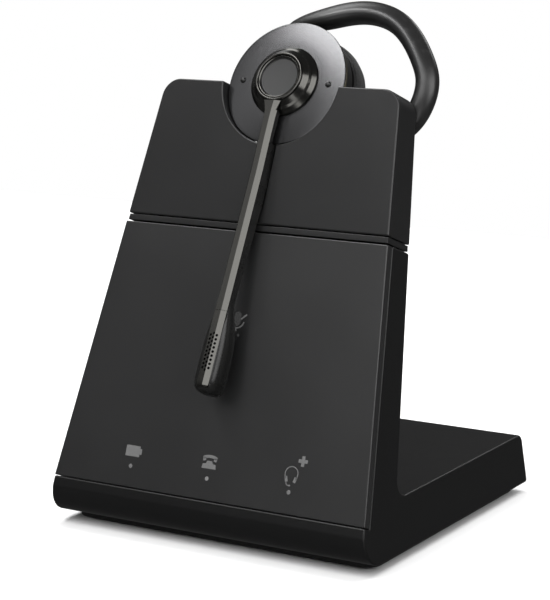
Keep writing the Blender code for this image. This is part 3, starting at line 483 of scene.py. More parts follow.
def easeEdges(obj, width, segments=3, angle=30.0):
    bevel = obj.modifiers.new("ease", "BEVEL")
    bevel.width = width
    bevel.segments = segments
    bevel.limit_method = "ANGLE"
    bevel.angle_limit = math.radians(angle)
    bevel.use_clamp_overlap = True
    bakeDown(obj)


def carve(obj, form, where, operation="DIFFERENCE"):
    cutter = looseObject("cutter", form, where)
    step = obj.modifiers.new("carve", "BOOLEAN")
    step.operation = operation
    step.solver = "EXACT"
    step.object = cutter
    bakeDown(obj)
    bpy.data.objects.remove(cutter, do_unlink=True)


def finishPiece(obj, body, paint, slotName, standsFor=(), angle=32.0):
    obj.data.shade_smooth()
    obj.data.set_sharp_from_angle(angle=math.radians(angle))
    obj.data.materials.clear()
    obj.data.materials.append(paints[paint])
    steady = obj.modifiers.new("evenShading", "WEIGHTED_NORMAL")
    steady.keep_sharp = True
    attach(obj, body)
    if standsFor:
        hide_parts(*standsFor)
    return obj


def addPiece(name, form, where, *finish, **settings):
    return finishPiece(looseObject(name, form, where), *finish, **settings)


def turnedPiece(name, corners, steps, arcSteps, *finish, **settings):
    # a turned piece of the headset, round the disc's own axis
    return addPiece(name, turnedForm(corners, steps, arcSteps), headFrame, *finish, **settings)


def panelPoint(up, out=0.0):
    spot = panelUp * up + panelOut * out
    return spot.y, spot.z


def halfWidthAt(height, inset=0.0):
    return stand["halfWidth"] - stand["draft"] * height - inset


def slabBack(up):
    return slab["topDepth"] + (slab["height"] - up) * slab["backSlope"]


def footCorner():
    lowY, lowZ = panelPoint(0.0, -slabBack(0.0))
    highY, highZ = panelPoint(slab["height"], -slabBack(slab["height"]))
    share = (stand["footTop"] - lowZ) / (highZ - lowZ)
    return lowY + share * (highY - lowY), stand["footTop"]


def draftedForm(outline):
    # a side outline carried across the stand, its sides leaning in with height
    rings = []
    for side in (-1, 1):
        rings.append([(side * halfWidthAt(p[1]), p[0], p[1]) for p in outline])
    return skinRings(rings)


def slabForm(corners, front, back=None, backInset=0.0, arcSteps=12):
    # an outline on the panel face, carried back with the stand's draft
    outline = roundedOutline(corners, arcSteps)
    rings = []
    for isBack in (False, True):
        ring = []
        for x, up in outline:
            behind = -(slabBack(up) - backInset) if back is None else -back
            out = behind if isBack else front
            share = halfWidthAt(panelPoint(up, out)[1]) / halfWidthAt(up * panelUp.z)
            ring.append((x * share, up, out))
        rings.append(ring)
    return skinRings(rings)


def slabCorners(low, high, inset=0.0, radius=0.0):
    lowHalf = halfWidthAt(low * panelUp.z, inset)
    highHalf = halfWidthAt(high * panelUp.z, inset)
    return [(-lowHalf, low, 0.0), (lowHalf, low, 0.0), (highHalf, high, radius), (-highHalf, high, radius)]


rearFace = stand["depth"] - stand["chinBulge"]
sockets = {
    "gap": 0.0003,
    "low": -0.0089,
    "pocket": 0.0150,
    # sizes are width, depth and height
    "phone": {
        "size": (0.0112, 0.0120, 0.0092), "places": (-0.0070, 0.0080),
        "mouth": (0.0080, 0.0072), "floor": 0.0009, "latch": 0.0018,
    },
    "power": {
        "size": (0.0092, 0.0110, 0.0088), "place": -0.0230,
        "bore": 0.0029, "pin": 0.0009, "deep": 0.0095,
    },
    "usb": {"size": (0.0082, 0.0060, 0.0032), "place": 0.0220, "shell": 0.0005, "tongue": 0.0026},
}
socketFace = rearFace - stand["rearDraft"] - 0.0001


def socketList():
    found = [(f"phone_socket_{n + 1}", x, sockets["phone"]["size"])
             for n, x in enumerate(sockets["phone"]["places"])]
    found.append(("power_inlet", sockets["power"]["place"], sockets["power"]["size"]))
    found.append(("usb_socket", sockets["usb"]["place"], sockets["usb"]["size"]))
    return found


def makeStandBody():
    slabTop = slab["bandLow"] - sockets["gap"]
    plateBack = slab["plate"] + sockets["gap"]
    outline = roundedOutline([
        (*panelPoint(0.0), 0.0),
        (-stand["chinBulge"], stand["browDrop"], stand["browRadius"]),
        (-stand["chinBulge"] / 2, stand["bottom"], stand["chinRadius"]),
        (rearFace, stand["bottom"], stand["heelRadius"]),
        (rearFace - stand["rearDraft"], stand["footTop"], stand["rearRadius"]),
        (*footCorner(), stand["insideRadius"]),
        (*panelPoint(slabTop, -slabBack(slabTop)), 0.0),
        (*panelPoint(slabTop, -plateBack), 0.0),
        (*panelPoint(0.0, -plateBack), 0.0),
    ], 14)
    body = looseObject("standBody", draftedForm(outline), baseFrame)
    easeEdges(body, stand["edge"], 4, 40.0)
    gap = sockets["gap"]
    for name, x, size in socketList():
        depths = (rearFace - sockets["pocket"], rearFace + 0.0030)
        heights = (sockets["low"] - gap, sockets["low"] + size[2] + gap)
        carve(body, boxAcross(x, size[0] / 2 + gap, depths, heights), baseFrame)
    return finishPiece(body, "base", "bodySkin", "body_black", ["body_shell"])


def makeSockets():
    low = sockets["low"]
    outside = socketFace + 0.0010
    for name, x, (wide, deep, tall) in socketList():
        solid = boxAcross(x, wide / 2, (socketFace - deep, socketFace), (low, low + tall))
        block = looseObject(name + "Block", solid, baseFrame)
        easeEdges(block, 0.0003, 3)
        paint, slotName = "darkInsert", "dark_plastic"
        if name.startswith("phone"):
            phone = sockets["phone"]
            floor, roof = low + phone["floor"], low + phone["floor"] + phone["mouth"][1]
            mouth = boxAcross(x, phone["mouth"][0] / 2, (socketFace - deep + 0.0018, outside), (floor, roof))
            carve(block, mouth, baseFrame)
            latch = boxAcross(x, phone["latch"], (socketFace - 0.0060, outside), (low - 0.0005, low + 0.0012))
            carve(block, latch, baseFrame)
            makeSpringWires(name, x, roof)
        elif name == "usb_socket":
            usb = sockets["usb"]
            heights = (low + usb["shell"], low + tall - usb["shell"])
            mouth = boxAcross(x, wide / 2 - usb["shell"], (socketFace - deep + 0.0010, outside), heights)
            carve(block, mouth, baseFrame)
            depths = (socketFace - 0.0052, socketFace - 0.0010)
            form = boxAcross(x, usb["tongue"], depths, (low + 0.0013, low + 0.0019))
            tongue = looseObject("usbTongue", form, baseFrame)
            easeEdges(tongue, 0.00012, 2)
            finishPiece(tongue, "base", "darkInsert", "dark_plastic")
            paint, slotName = "steelSkin", "steel"
        else:
            # the bore leaves the contact pin standing in its middle
            power = sockets["power"]
            bore = turnedForm([
                (power["pin"], 0.002, 0.0), (power["bore"], 0.002, 0.0),
                (power["bore"], -power["deep"], 0.0), (power["pin"], -power["deep"], 0.0),
            ], 48)
            turn = Matrix.Rotation(-math.pi / 2, 4, "X")
            spot = Matrix.Translation((x, socketFace, low + tall / 2))
            carve(block, bore, baseFrame @ spot @ turn)
        finishPiece(block, "base", paint, slotName, [name])


def makeSpringWires(name, x, roof):
    # four gilt contact wires that slope down from the roof of the mouth
    forms = []
    for n in range(4):
        across = x + (n - 1.5) * 0.0012
        start = Vector((across, socketFace - 0.0030, roof - 0.0004))
        end = Vector((across, socketFace - 0.0092, roof - 0.0032))
        rings = []
        for spot in (start, end):
            ring = []
            for k in range(8):
                angle = 2 * math.pi * k / 8
                ring.append(spot + Vector((math.cos(angle) * 0.00022, 0.0, math.sin(angle) * 0.00022)))
            rings.append(ring)
        forms.append(skinRings(rings))
    addPiece(name + "Wires", joinForms(forms), baseFrame, "base", "goldSkin", "gold_contact")


under = {
    "halfWidth": stand["halfWidth"] - 0.0015,
    "front": 0.00715,
    "rear": stand["depth"] - 0.0025,
    "bottom": -0.0135,
    "corner": 0.0045,
    "footRadius": 0.0050,
    "footInset": 0.0085,
    "screwHead": 0.0024,
    "screwInset": 0.0100,
    "screwFront": 0.0230,
    "screwRear": 0.0200,
}


def cornerPlaces(inset, front, rear):
    x = under["halfWidth"] - inset
    return [(side * x, y) for y in (under["front"] + front, under["rear"] - rear) for side in (-1, 1)]


footPlaces = cornerPlaces(under["footInset"], under["footInset"], under["footInset"])
screwPlaces = cornerPlaces(under["screwInset"], under["screwFront"], under["screwRear"])


def makeUnderside():
    top = stand["bottom"] - sockets["gap"]
    half = under["halfWidth"]
    outline = roundedOutline([
        (-half, under["front"], under["corner"]),
        (half, under["front"], under["corner"]),
        (half, under["rear"], under["corner"]),
        (-half, under["rear"], under["corner"]),
    ], 12)
    base = looseObject("undersidePlate", plateForm(outline, under["bottom"], top), baseFrame)
    easeEdges(base, 0.0004, 3)
    low = under["bottom"] - 0.001
    for places, radius, roof, steps in (
        (footPlaces, under["footRadius"] + 0.0003, under["bottom"] + 0.0008, 64),
        (screwPlaces, under["screwHead"] + 0.0003, under["bottom"] + 0.0009, 40),
        (screwPlaces, 0.0013, top + 0.001, 24),
    ):
        carve(base, joinForms([rodForm(radius, low, roof, x, y, steps) for x, y in places]), baseFrame)
    finishPiece(base, "base", "undersideSkin", "dark_plastic", ["bottom_plate"])
    floor = cadBox[0][2] - seamPoint.z
    for n, (x, y) in enumerate(footPlaces):
        radius = under["footRadius"]
        pad = turnedForm([
            (0.0, -0.0130, 0.0),
            (radius, -0.0130, 0.0001),
            (radius, floor, 0.0004),
            (radius - 0.0011, floor, 0.0),
            (radius - 0.0014, floor + 0.00025, 0.0),
            (0.0, floor + 0.00025, 0.0),
        ], 64, 4)
        where = baseFrame @ Matrix.Translation((x, y, 0.0))
        stands = [f"rubber_foot_{n + 1}"]
        addPiece(f"rubberFoot{n + 1}", pad, where, "base", "footSkin", "soft_rubber", stands)
    for n, (x, y) in enumerate(screwPlaces):
        where = baseFrame @ Matrix.Translation((x, y, 0.0))
        makeScrew(f"baseScrew{n + 1}", where, f"base_screw_{n + 1}")


def makeScrew(name, where, stands):
    # pan head with a cross recess, its shank threaded by stacked rings
    headTop = under["bottom"] + 0.0007
    shankTop = stand["bottom"] + 0.0065
    corners = [(0.0, shankTop, 0.0)]
    pitch = 0.0005
    level = shankTop
    while level > headTop + 2 * pitch:
        corners.append((0.00082, level, 0.0))
        corners.append((0.0010, level - pitch / 2, 0.0))
        level -= pitch
    corners += [
        (0.0009, headTop, 0.0),
        (under["screwHead"], headTop, 0.0002),
        (under["screwHead"], headTop - 0.0009, 0.0005),
        (0.0, headTop - 0.0009, 0.0),
    ]
    screw = looseObject(name, turnedForm(corners, 32, 3), where)
    low = headTop - 0.0012
    for size in ((0.0014, 0.00028), (0.00028, 0.0014)):
        slot = boxAcross(0.0, size[0], (-size[1], size[1]), (low, low + 0.0009))
        carve(screw, slot, where)
    finishPiece(screw, "base", "steelSkin", "steel", [stands])


def makeTouchPanel():
    corners = slabCorners(sockets["gap"] / 2, slab["plateTop"])
    panel = looseObject("touchPanelPlate", slabForm(corners, 0.0, back=slab["plate"]), panelFrame)
    easeEdges(panel, 0.0003, 4)
    lights = [rodForm(r + 0.00002, -0.004, 0.001, x, y, 32) for x, y, r in lightPlaces]
    carve(panel, joinForms(lights), panelFrame)
    finishPiece(panel, "base", "panelSkin", "panel_black", ["touch_panel"])
    for n, (x, y, radius) in enumerate(lightPlaces):
        dome = turnedForm([
            (0.0, 0.00003, 0.0), (radius, 0.0, 0.00006), (radius, -0.00385, 0.0), (0.0, -0.00385, 0.0),
        ], 32)
        where = panelFrame @ Matrix.Translation((x, y, 0.0))
        paint = "boomShadeInkSkin" if n == 3 else "lensSkin"          # the light under the microphone gets the darker ink: painted shade of the boom in front of it
        stands = [f"indicator_light_{n + 1}"]
        addPiece(f"lightGuide{n + 1}", dome, where, "base", paint, "clear_light", stands)


lightPlaces = (
    # across, up and radius
    (-0.02515, 0.0060, 0.0006), (0.0, 0.0060, 0.0006), (0.0258, 0.0060, 0.0006), (0.0015, 0.0456, 0.0004),
)
inkDepth = 0.00004


def inkMark(name, forms, paint="inkSkin"):
    addPiece(name, joinForms(forms), panelFrame, "base", paint, "clear_light")


def inkShape(corners, steps=6):
    return plateForm(roundedOutline(corners, steps), -inkDepth / 2, inkDepth / 2)


def inkArc(x, y, radius, width, start, end, steps=24):
    outline = []
    for r, order in ((radius + width / 2, range(steps + 1)), (radius - width / 2, range(steps, -1, -1))):
        for k in order:
            angle = math.radians(start + (end - start) * k / steps)
            outline.append((x + math.cos(angle) * r, y + math.sin(angle) * r))
    return plateForm(outline, -inkDepth / 2, inkDepth / 2)


def inkBar(x, y, halfX, halfY, turn=0.0, radius=0.0):
    corners = [(-halfX, -halfY), (halfX, -halfY), (halfX, halfY), (-halfX, halfY)]
    swing = Matrix.Rotation(math.radians(turn), 2)
    return inkShape([(*(swing @ Vector(c) + Vector((x, y))), radius) for c in corners])


def makeMarks():
    # battery
    inkMark("batteryMark", [
        inkBar(-0.0252, 0.01018, 0.0023, 0.0015, 0.0, 0.00015),
        inkBar(-0.02256, 0.0102, 0.00032, 0.0008, 0.0, 0.0001),
    ])
    # desk telephone
    inkMark("phoneMark", [
        inkArc(0.0, 0.00705, 0.0050, 0.0008, 64, 116),
        inkBar(-0.00175, 0.01125, 0.00046, 0.0005, 10),
        inkBar(0.00175, 0.01125, 0.00046, 0.0005, -10),
        inkShape([
            (-0.00225, 0.0087, 0.0), (0.00225, 0.0087, 0.0), (0.0021, 0.0099, 0.0002),
            (0.0011, 0.0101, 0.0001), (0.0008, 0.0108, 0.0), (-0.0008, 0.0108, 0.0),
            (-0.0011, 0.0101, 0.0001), (-0.0021, 0.0099, 0.0002),
        ]),
    ])
    # headset with a plus
    x, y = 0.02574, 0.01090
    inkMark("headsetMark", [
        inkArc(x, y, 0.00195, 0.00026, -42, 222, 40),
        inkBar(x - 0.00135, y - 0.00150, 0.00042, 0.00075, 16),
        inkBar(x + 0.00135, y - 0.00150, 0.00042, 0.00075, -16),
        inkArc(x - 0.0004, y - 0.0023, 0.00085, 0.00024, 170, 275, 12),
        inkBar(x - 0.0001, y - 0.0031, 0.0003, 0.00022, 8, 0.0001),
    ])
    plusX, plusY = 0.02858, 0.01461
    inkMark("plusMark", [inkShape([
        (plusX + a, plusY + b, 0.0) for a, b in (
            (-0.0014, -0.00048), (-0.00048, -0.00048), (-0.00048, -0.0014), (0.00048, -0.0014),
            (0.00048, -0.00048), (0.0014, -0.00048), (0.0014, 0.00048), (0.00048, 0.00048),
            (0.00048, 0.0014), (-0.00048, 0.0014), (-0.00048, 0.00048), (-0.0014, 0.00048))
    ])])
    # microphone with a stroke across it
    x, y = 0.00047, 0.04944
    # the microphone's body is in the darker ink: painted shade of the boom
    inkMark("muteMark", [inkBar(x, y + 0.0006, 0.00105, 0.0020, 0.0, 0.00104)], "boomShadeInkSkin")
    inkMark("muteStroke", [
        inkArc(x, y + 0.0003, 0.0022, 0.00038, 212, 350, 24),
        inkBar(x, y - 0.0025, 0.0002, 0.0004),
        inkBar(x + 0.0019, y + 0.0013, 0.00025, 0.0011, -50),
    ])


def makeBand():
    corners = slabCorners(slab["bandLow"], slab["bandHigh"], sockets["gap"])
    band = looseObject("seamBandStrip", slabForm(corners, -0.00035, backInset=sockets["gap"]), panelFrame)
    easeEdges(band, 0.00015, 2)
    finishPiece(band, "base", "capSkin", "cap_black", ["seam_band"])


headset = {
    "discRadius": 0.01824,
    "notchGap": 0.00036,
    "notchTaper": 0.0007,     # how much tighter the notch is at the back
    "discThickness": 0.0013,
    "discInner": 0.01033,     # front edge of the hole, close round the hub
    "discHole": 0.01075,
    "dot": 0.01375,
    "hubRadius": 0.01025,
    "rim": 0.00715,
    "bore": 0.0064,
    "hubTop": 0.0041,
    "hubShoulder": 0.0007,
}


pinSpots = (-0.0055, 0.0055)
pinHeight = -0.0039
groove = {
    "top": -0.0166,           # places along the boom, from the disc's middle
    "low": -0.0425,
    "half": 0.00267,
    "narrowing": 0.00065 / 0.0219,
    "gap": 0.0003,
}


def notchOutline(depth):
    # outline of the cap at one depth behind the panel face; the notch leans with the disc
    notch = headset["discRadius"] + headset["notchGap"] - (headset["notchTaper"] if depth else 0.0)
    lean = panelUp.dot(discOut) / panelOut.dot(discOut)
    middle = slab["discPlace"] + lean * (slab["discSink"] - depth)
    stretch = 1.0 / panelOut.dot(discOut)          # a leaning bore opens as an ellipse
    low, high = slab["capLow"], slab["height"]
    lowHalf = halfWidthAt(low * panelUp.z)
    highHalf = halfWidthAt(high * panelUp.z)
    rise = (high - middle) / (notch * stretch)
    start = math.asin(max(-1.0, min(1.0, rise)))
    right = roundedOutline([
        (-lowHalf, low, 0.0), (lowHalf, low, 0.0), (highHalf, high, slab["capCorner"]), (0.0, high, 0.0),
    ], 14)[1:-1]
    arc = []
    arcSteps = 96
    for k in range(arcSteps + 1):
        angle = start - (math.pi + 2 * start) * k / arcSteps
        arc.append(Vector((notch * math.cos(angle), middle + notch * stretch * math.sin(angle))))
    left = [Vector((-p.x, p.y)) for p in reversed(right)]
    return right + arc + left


def makeCap():
    rings = []
    for isBack in (False, True):
        ring = []
        for x, up in notchOutline(slab["topDepth"] + 0.001 if isBack else 0.0):
            out = -slabBack(up) if isBack else 0.0
            share = halfWidthAt(panelPoint(up, out)[1]) / halfWidthAt(up * panelUp.z)
            inNotch = abs(x) < headset["discRadius"] + 0.0004 and up > slab["capLow"] + 0.001
            ring.append((x if inNotch else x * share, up, out))
        rings.append(ring)
    cap = looseObject("dockCapShell", skinRings(rings), panelFrame)
    easeEdges(cap, 0.00042, 4)
    carve(cap, grooveForm(), headFrame)
    pinBores = [layAlong(rodForm(0.0007, -0.0262, -0.0150), x, pinHeight) for x in pinSpots]
    carve(cap, joinForms(pinBores), headFrame)
    finishPiece(cap, "base", "capSkin", "cap_black", ["dock_cap"])


def grooveForm():
    # the arm's bed in the cap, a little wider at the notch
    rings = []
    for v in (groove["top"], groove["low"]):
        half = groove["half"] - groove["narrowing"] * (groove["top"] - v)
        floor = armBack(v) - groove["gap"]
        rings.append([(-half, v, floor), (half, v, floor), (half, v, 0.006), (-half, v, 0.006)])
    return skinRings(rings)


def armBack(v):
    # height of the arm's back, which rises toward the capsule
    share = (v + 0.01874) / (-0.0690 + 0.01874)
    return -0.0029 + share * 0.0011


def makePins():
    for n, x in enumerate(pinSpots):
        tip = -math.sqrt(0.0176 ** 2 - x ** 2) - 0.0003
        form = turnedForm([
            (0.0, tip, 0.0), (0.0005, tip, 0.00045), (0.0005, tip - 0.0030, 0.0),
            (0.00062, tip - 0.0031, 0.0), (0.00062, tip - 0.0036, 0.0), (0.0005, tip - 0.0037, 0.0),
            (0.0005, tip - 0.0062, 0.0001), (0.0, tip - 0.0062, 0.0),
        ], 32, 6)
        pin = layAlong(form, x, pinHeight)
        body = ("left_pin", "right_pin")[n]
        stands = [f"contact_pin_{n + 1}"]
        addPiece(f"chargingPin{n + 1}", pin, headFrame, body, "goldSkin", "gold_contact", stands)


makeStandBody()
makeSockets()
makeUnderside()
makeTouchPanel()
makeMarks()
makeBand()
makeCap()
makePins()
print("stand made")


discSteps = [0.0106 + 0.0006 * step for step in range(13)]


def makeDisc():
    thick = headset["discThickness"]
    turnedPiece("volumeDisc", [
        (headset["discInner"], 0.0, 0.0),
        *((r, -0.0006 * ((r - 0.0100) / 0.0082) ** 1.5, 0.0) for r in discSteps),
        (headset["discRadius"] - 0.0001, -0.00062, 0.0),
        (headset["discRadius"], -0.00075, 0.0),
        (headset["discRadius"], -thick, 0.0002),
        (headset["discHole"], -thick, 0.0001),
    ], 192, 5, "rocker", "discSkin", "disc_anodised", ["volume_rocker"])
    for n, side in enumerate((-1, 1)):
        dot = turnedForm([
            (0.0, 0.00045, 0.0), (0.00042, 0.00045, 0.00035), (0.00085, -0.00005, 0.0), (0.0, -0.0004, 0.0),
        ], 40, 6)
        where = headFrame @ Matrix.Translation((side * headset["dot"], 0.0, 0.0))
        addPiece(f"pressDot{n + 1}", dot, where, "rocker", "earpieceSkin", "headset_black")


def makeButton():
    turnedPiece("callButtonCap", [
        (0.0, 0.0031, 0.0),
        (0.0056, 0.0032, 0.0003),
        (0.0058, 0.0037, 0.0001),
        (0.0062, 0.0037, 0.0001),
        (0.0062, 0.0030, 0.0),
        (0.0054, 0.0030, 0.0),
        (0.0054, 0.0006, 0.0),
        (0.0020, 0.0006, 0.0),
        (0.0020, -0.0020, 0.0002),
        (0.0, -0.0020, 0.0),
    ], 128, 4, "button", "buttonSkin", "dark_plastic", ["call_button"])
    turnedPiece("buttonRing", [
        (0.00578, 0.0033, 0.0), (0.00578, 0.00375, 0.00008), (0.0062, 0.0039, 0.00008), (0.0062, 0.0033, 0.0),
    ], 128, 4, "button", "gunmetalSkin", "boom_gunmetal")


def makeHub():
    turnedPiece("boomHub", [
        (headset["bore"], 0.0023, 0.0),
        (headset["bore"], headset["hubTop"], 0.0003),
        (headset["rim"], headset["hubTop"], 0.00035),
        (headset["rim"] + 0.00018, headset["hubTop"] - 0.0006, 0.0002),
        (headset["hubRadius"], headset["hubShoulder"], 0.00018),
        (headset["hubRadius"], -0.0009, 0.0001),
        (0.0092, -0.0009, 0.0),
        (0.0092, 0.0019, 0.0),
        (0.0086, 0.0023, 0.0),
    ], 192, 5, "boom", "gunmetalSkin", "boom_gunmetal", ["boom_arm"], angle=28.0)
    arm = addPiece("boomArm", armForm(), headFrame, "boom", "gunmetalSkin", "boom_gunmetal", angle=12.0)
    # a second finish, painted shade, for the arm's flanks and back
    arm.data.materials.append(paints["boomShadow"])
    paintArmSides(arm)


armStations = (
    # along the boom: place, front height, half width of the front, full half width, back height
    (-0.0071, 0.0041, 0.00255, 0.0026, 0.0025),
    (-0.0084, 0.0040, 0.0021, 0.0023, 0.0018),
    (-0.0098, 0.0039, 0.00165, 0.0020, 0.0010),
    (-0.0120, 0.0038, 0.00145, 0.0019, 0.0008),
    (-0.0186, 0.0035, 0.00142, 0.0019, 0.0008),
    (-0.0188, 0.0035, 0.00142, 0.0019, -0.0029),
    (-0.0270, 0.0030, 0.00140, 0.0019, -0.0027),
    (-0.0450, 0.0026, 0.00140, 0.0019, -0.0023),
    (-0.0600, 0.0023, 0.00148, 0.0019, -0.0020),
    (-0.0674, 0.00215, 0.00160, 0.0019, -0.0018),
)


def armForm():
    rings = []
    for v, front, faceHalf, half, back in armStations:
        drop = min(0.0008, (front - back) * 0.4)
        ring = []
        ridge = faceHalf * 0.24                    # two long facets meet here
        ring.append((-faceHalf, v, front - 0.00022))
        ring.append((ridge, v, front))
        ring.append((ridge + 0.00004, v, front))
        ring.append((faceHalf + 0.0001, v, front - 0.00032))
        ring.append((half, v, front - 0.00042 - drop * 0.3))
        foot = back + min(0.0006, (front - back) * 0.2)
        ring.append((half, v, foot))
        ring.append((half * 0.7, v, back))
        ring.append((-half * 0.7, v, back))
        ring.append((-half, v, foot))
        ring.append((-half, v, front - 0.0003 - drop * 0.55))
        rings.append(ring)
    return skinRings(rings)


def paintArmSides(piece):
    # the flanks and the back of the arm, below the crowned face, take the near-black boomShadow finish:
    # painted shade on the faces turned away from the light
    toHead = headFrame.inverted()
    turn = toHead.to_3x3()
    for face in piece.data.polygons:
        spot = toHead @ face.center
        facing = (turn @ face.normal).z
        if spot.y < -0.0106 and facing < 0.35:
            face.material_index = 1


capsule = {
    # along the boom: place, half width, front height, back height
    "stations": (
        (-0.0625, 0.00170, 0.0018, -0.0017),
        (-0.0655, 0.00205, 0.0019, -0.0026),
        (-0.0690, 0.00275, 0.0020, -0.0040),
        (-0.0725, 0.00335, 0.0021, -0.0053),
        (-0.0760, 0.00375, 0.0021, -0.0062),
        (-0.0800, 0.00390, 0.0020, -0.0066),
        (-0.0840, 0.00392, 0.0019, -0.0067),
        (-0.0868, 0.00385, 0.0018, -0.0068),
        (-0.0882, 0.00366, 0.0015, -0.0067),
        (-0.0892, 0.00318, 0.0008, -0.0063),
        (-0.0897, 0.00240, -0.0003, -0.0056),
        (-0.0899, 0.00110, -0.0018, -0.0044),
    ),
    "fullness": 2.5,
    "stripLeft": -0.00163,
    "stripRight": 0.00205,
    "stripRidge": 0.00034,
    "stripEnd": -0.0889,
    "holeRadius": 0.000375,
    "holePitch": 0.001145,
    # across, place of the first hole and how many
    "holeColumns": ((-0.00092, -0.0745, 9), (0.00005, -0.0740, 10), (0.00100, -0.0745, 9)),
}


def capsuleRings(inset=0.0):
    rings = []
    power = 2 / capsule["fullness"]
    for v, half, front, back in smoothRoute(capsule["stations"], 5):
        middle, deep = (front + back) / 2, (front - back) / 2 - inset
        ring = []
        for k in range(48):
            angle = 2 * math.pi * k / 48
            across = math.copysign(abs(math.cos(angle)) ** power, math.cos(angle))
            out = math.copysign(abs(math.sin(angle)) ** power, math.sin(angle))
            ring.append((across * (half - inset), v, middle + out * deep))
        rings.append(ring)
    return rings


def stripRoute(steps=40):
    # places and heights along the capsule; the strip dips where the capsule rounds off
    start, end = -0.0675, capsule["stripEnd"]
    found = []
    for n in range(steps + 1):
        share = n / steps
        dip = max(0.0, (share - 0.97) / 0.03) ** 2 * 0.00025
        found.append((start + (end - start) * share, 0.00218 - 0.00038 * share - dip))
    return found


def makeCapsule():
    shell = looseObject("micCapsuleShell", skinRings(capsuleRings()), headFrame)
    left, right = capsule["stripLeft"] - 0.00008, capsule["stripRight"] + 0.00008
    bed = [[(left, v, front - 0.0010), (right, v, front - 0.0010), (right, v, 0.005), (left, v, 0.005)]
           for v, front in [(-0.0600, 0.0021)] + stripRoute()]
    carve(shell, skinRings(bed), headFrame)
    finishPiece(shell, "boom", "capsuleSkin", "headset_black", ["mic_capsule"], angle=40.0)
    left, right = capsule["stripLeft"], capsule["stripRight"]
    ridge = capsule["stripRidge"]
    rings = []
    for v, front in stripRoute():
        share = min(1.0, max(0.0, (v - capsule["stripEnd"]) / 0.0010))
        narrow = 1 - 0.2 * (1 - share) ** 2
        low, high = left * narrow, right * narrow
        ring = [(low, v, front - 0.00022), (ridge, v, front), (ridge + 0.00004, v, front)]
        ring += [(high, v, front - down) for down in (0.00042, 0.0008)]
        rings.append(ring + [(low, v, front - 0.0008)])
    strip = looseObject("micStrip", skinRings(rings), headFrame)
    holes = []
    for u, first, count in capsule["holeColumns"]:
        for n in range(count):
            v = first - n * capsule["holePitch"]
            holes.append(rodForm(capsule["holeRadius"], -0.002, 0.004, u, v, 20))
    carve(strip, joinForms(holes), headFrame)
    finishPiece(strip, "boom", "gunmetalSkin", "boom_gunmetal", angle=12.0)
    dark = looseObject("micFelt", blockForm((-0.00155, -0.0855, 0.0), (0.00155, -0.0730, 0.0009)), headFrame)
    easeEdges(dark, 0.0002, 2)
    finishPiece(dark, "boom", "coneSkin", "soft_rubber", ["mic_wind_screen_1", "mic_wind_screen_2"])


def makeEarpiece():
    turnedPiece("trimRing", [
        (0.0168, -0.0021, 0.0), (0.0179, -0.0021, 0.00015),
        (0.0179, -0.0029, 0.00015), (0.0168, -0.0029, 0.0),
    ], 160, 4, "earpiece", "bronzeSkin", "bronze_trim", ["trim_ring"])
    housing = turnedPiece("frontHousing", [
        (0.0070, 0.0011, 0.0), (0.0088, 0.0011, 0.0001), (0.0088, -0.0021, 0.0), (0.0165, -0.0021, 0.0),
        (0.0165, -0.0032, 0.0), (0.0176, -0.0032, 0.0002), (0.0176, -0.0046, 0.0002), (0.0156, -0.0046, 0.0),
        (0.0156, -0.0079, 0.0001), (0.0146, -0.0079, 0.0), (0.0146, -0.0031, 0.0), (0.0070, -0.0031, 0.0),
    ], 160, 4, "earpiece", "earpieceSkin", "headset_black", ["front_housing"])
    for x in pinSpots:
        low = (x - 0.0013, -0.0190, -0.0045)
        carve(housing, blockForm(low, (x + 0.0013, -0.0150, -0.0034)), headFrame)
    housing.modifiers.new("evenShading", "WEIGHTED_NORMAL").keep_sharp = True
    collar = turnedPiece("hookCollar", [
        (0.0159, -0.0049, 0.0001), (0.0172, -0.0049, 0.00025),
        (0.0172, -0.0073, 0.00025), (0.0159, -0.0073, 0.0001),
    ], 160, 4, "hook", "earpieceSkin", "headset_black", ["hook_collar"])
    lug = blockForm((-0.0040, 0.0165, -0.0073), (0.0015, 0.01815, -0.0049))
    carve(collar, lug, headFrame, "UNION")
    collar.modifiers.new("evenShading", "WEIGHTED_NORMAL").keep_sharp = True
    turnedPiece("rearHousing", [
        (0.0118, -0.0082, 0.0), (0.0174, -0.0082, 0.0002), (0.0174, -0.0090, 0.0002),
        (0.0127, -0.0090, 0.0003), (0.0127, -0.0130, 0.0006), (0.0071, -0.0130, 0.0002),
        (0.0071, -0.0122, 0.0), (0.0118, -0.0122, 0.0),
    ], 160, 4, "earpiece", "earpieceSkin", "headset_black", ["rear_housing"])
    grille = looseObject("speakerGrille", turnedForm([
        (0.0, -0.0124, 0.0), (0.0068, -0.0124, 0.0), (0.0068, -0.0129, 0.0001), (0.0, -0.0133, 0.0),
    ], 96, 4), headFrame)
    holes = []
    step = 0.00125
    for row in range(-5, 6):
        for column in range(-6, 7):
            x = (column + (row % 2) / 2) * step
            y = row * step * 0.866
            if math.hypot(x, y) < 0.0060:
                holes.append(rodForm(0.00038, -0.0140, -0.0120, x, y, 12))
    carve(grille, joinForms(holes), headFrame)
    finishPiece(grille, "earpiece", "steelSkin", "steel", ["speaker_grille"])


cushion = {
    "inner": 0.0132,
    "outer": 0.0182,
    "front": -0.0093,
    "back": -0.0156,
    "around": 200,
    "across": 40,
    "pleats": 34,
    "fullness": 0.78,         # under 1 fills out the section's corners
    "seamAngle": 0.95,
    "stitches": 90,
}


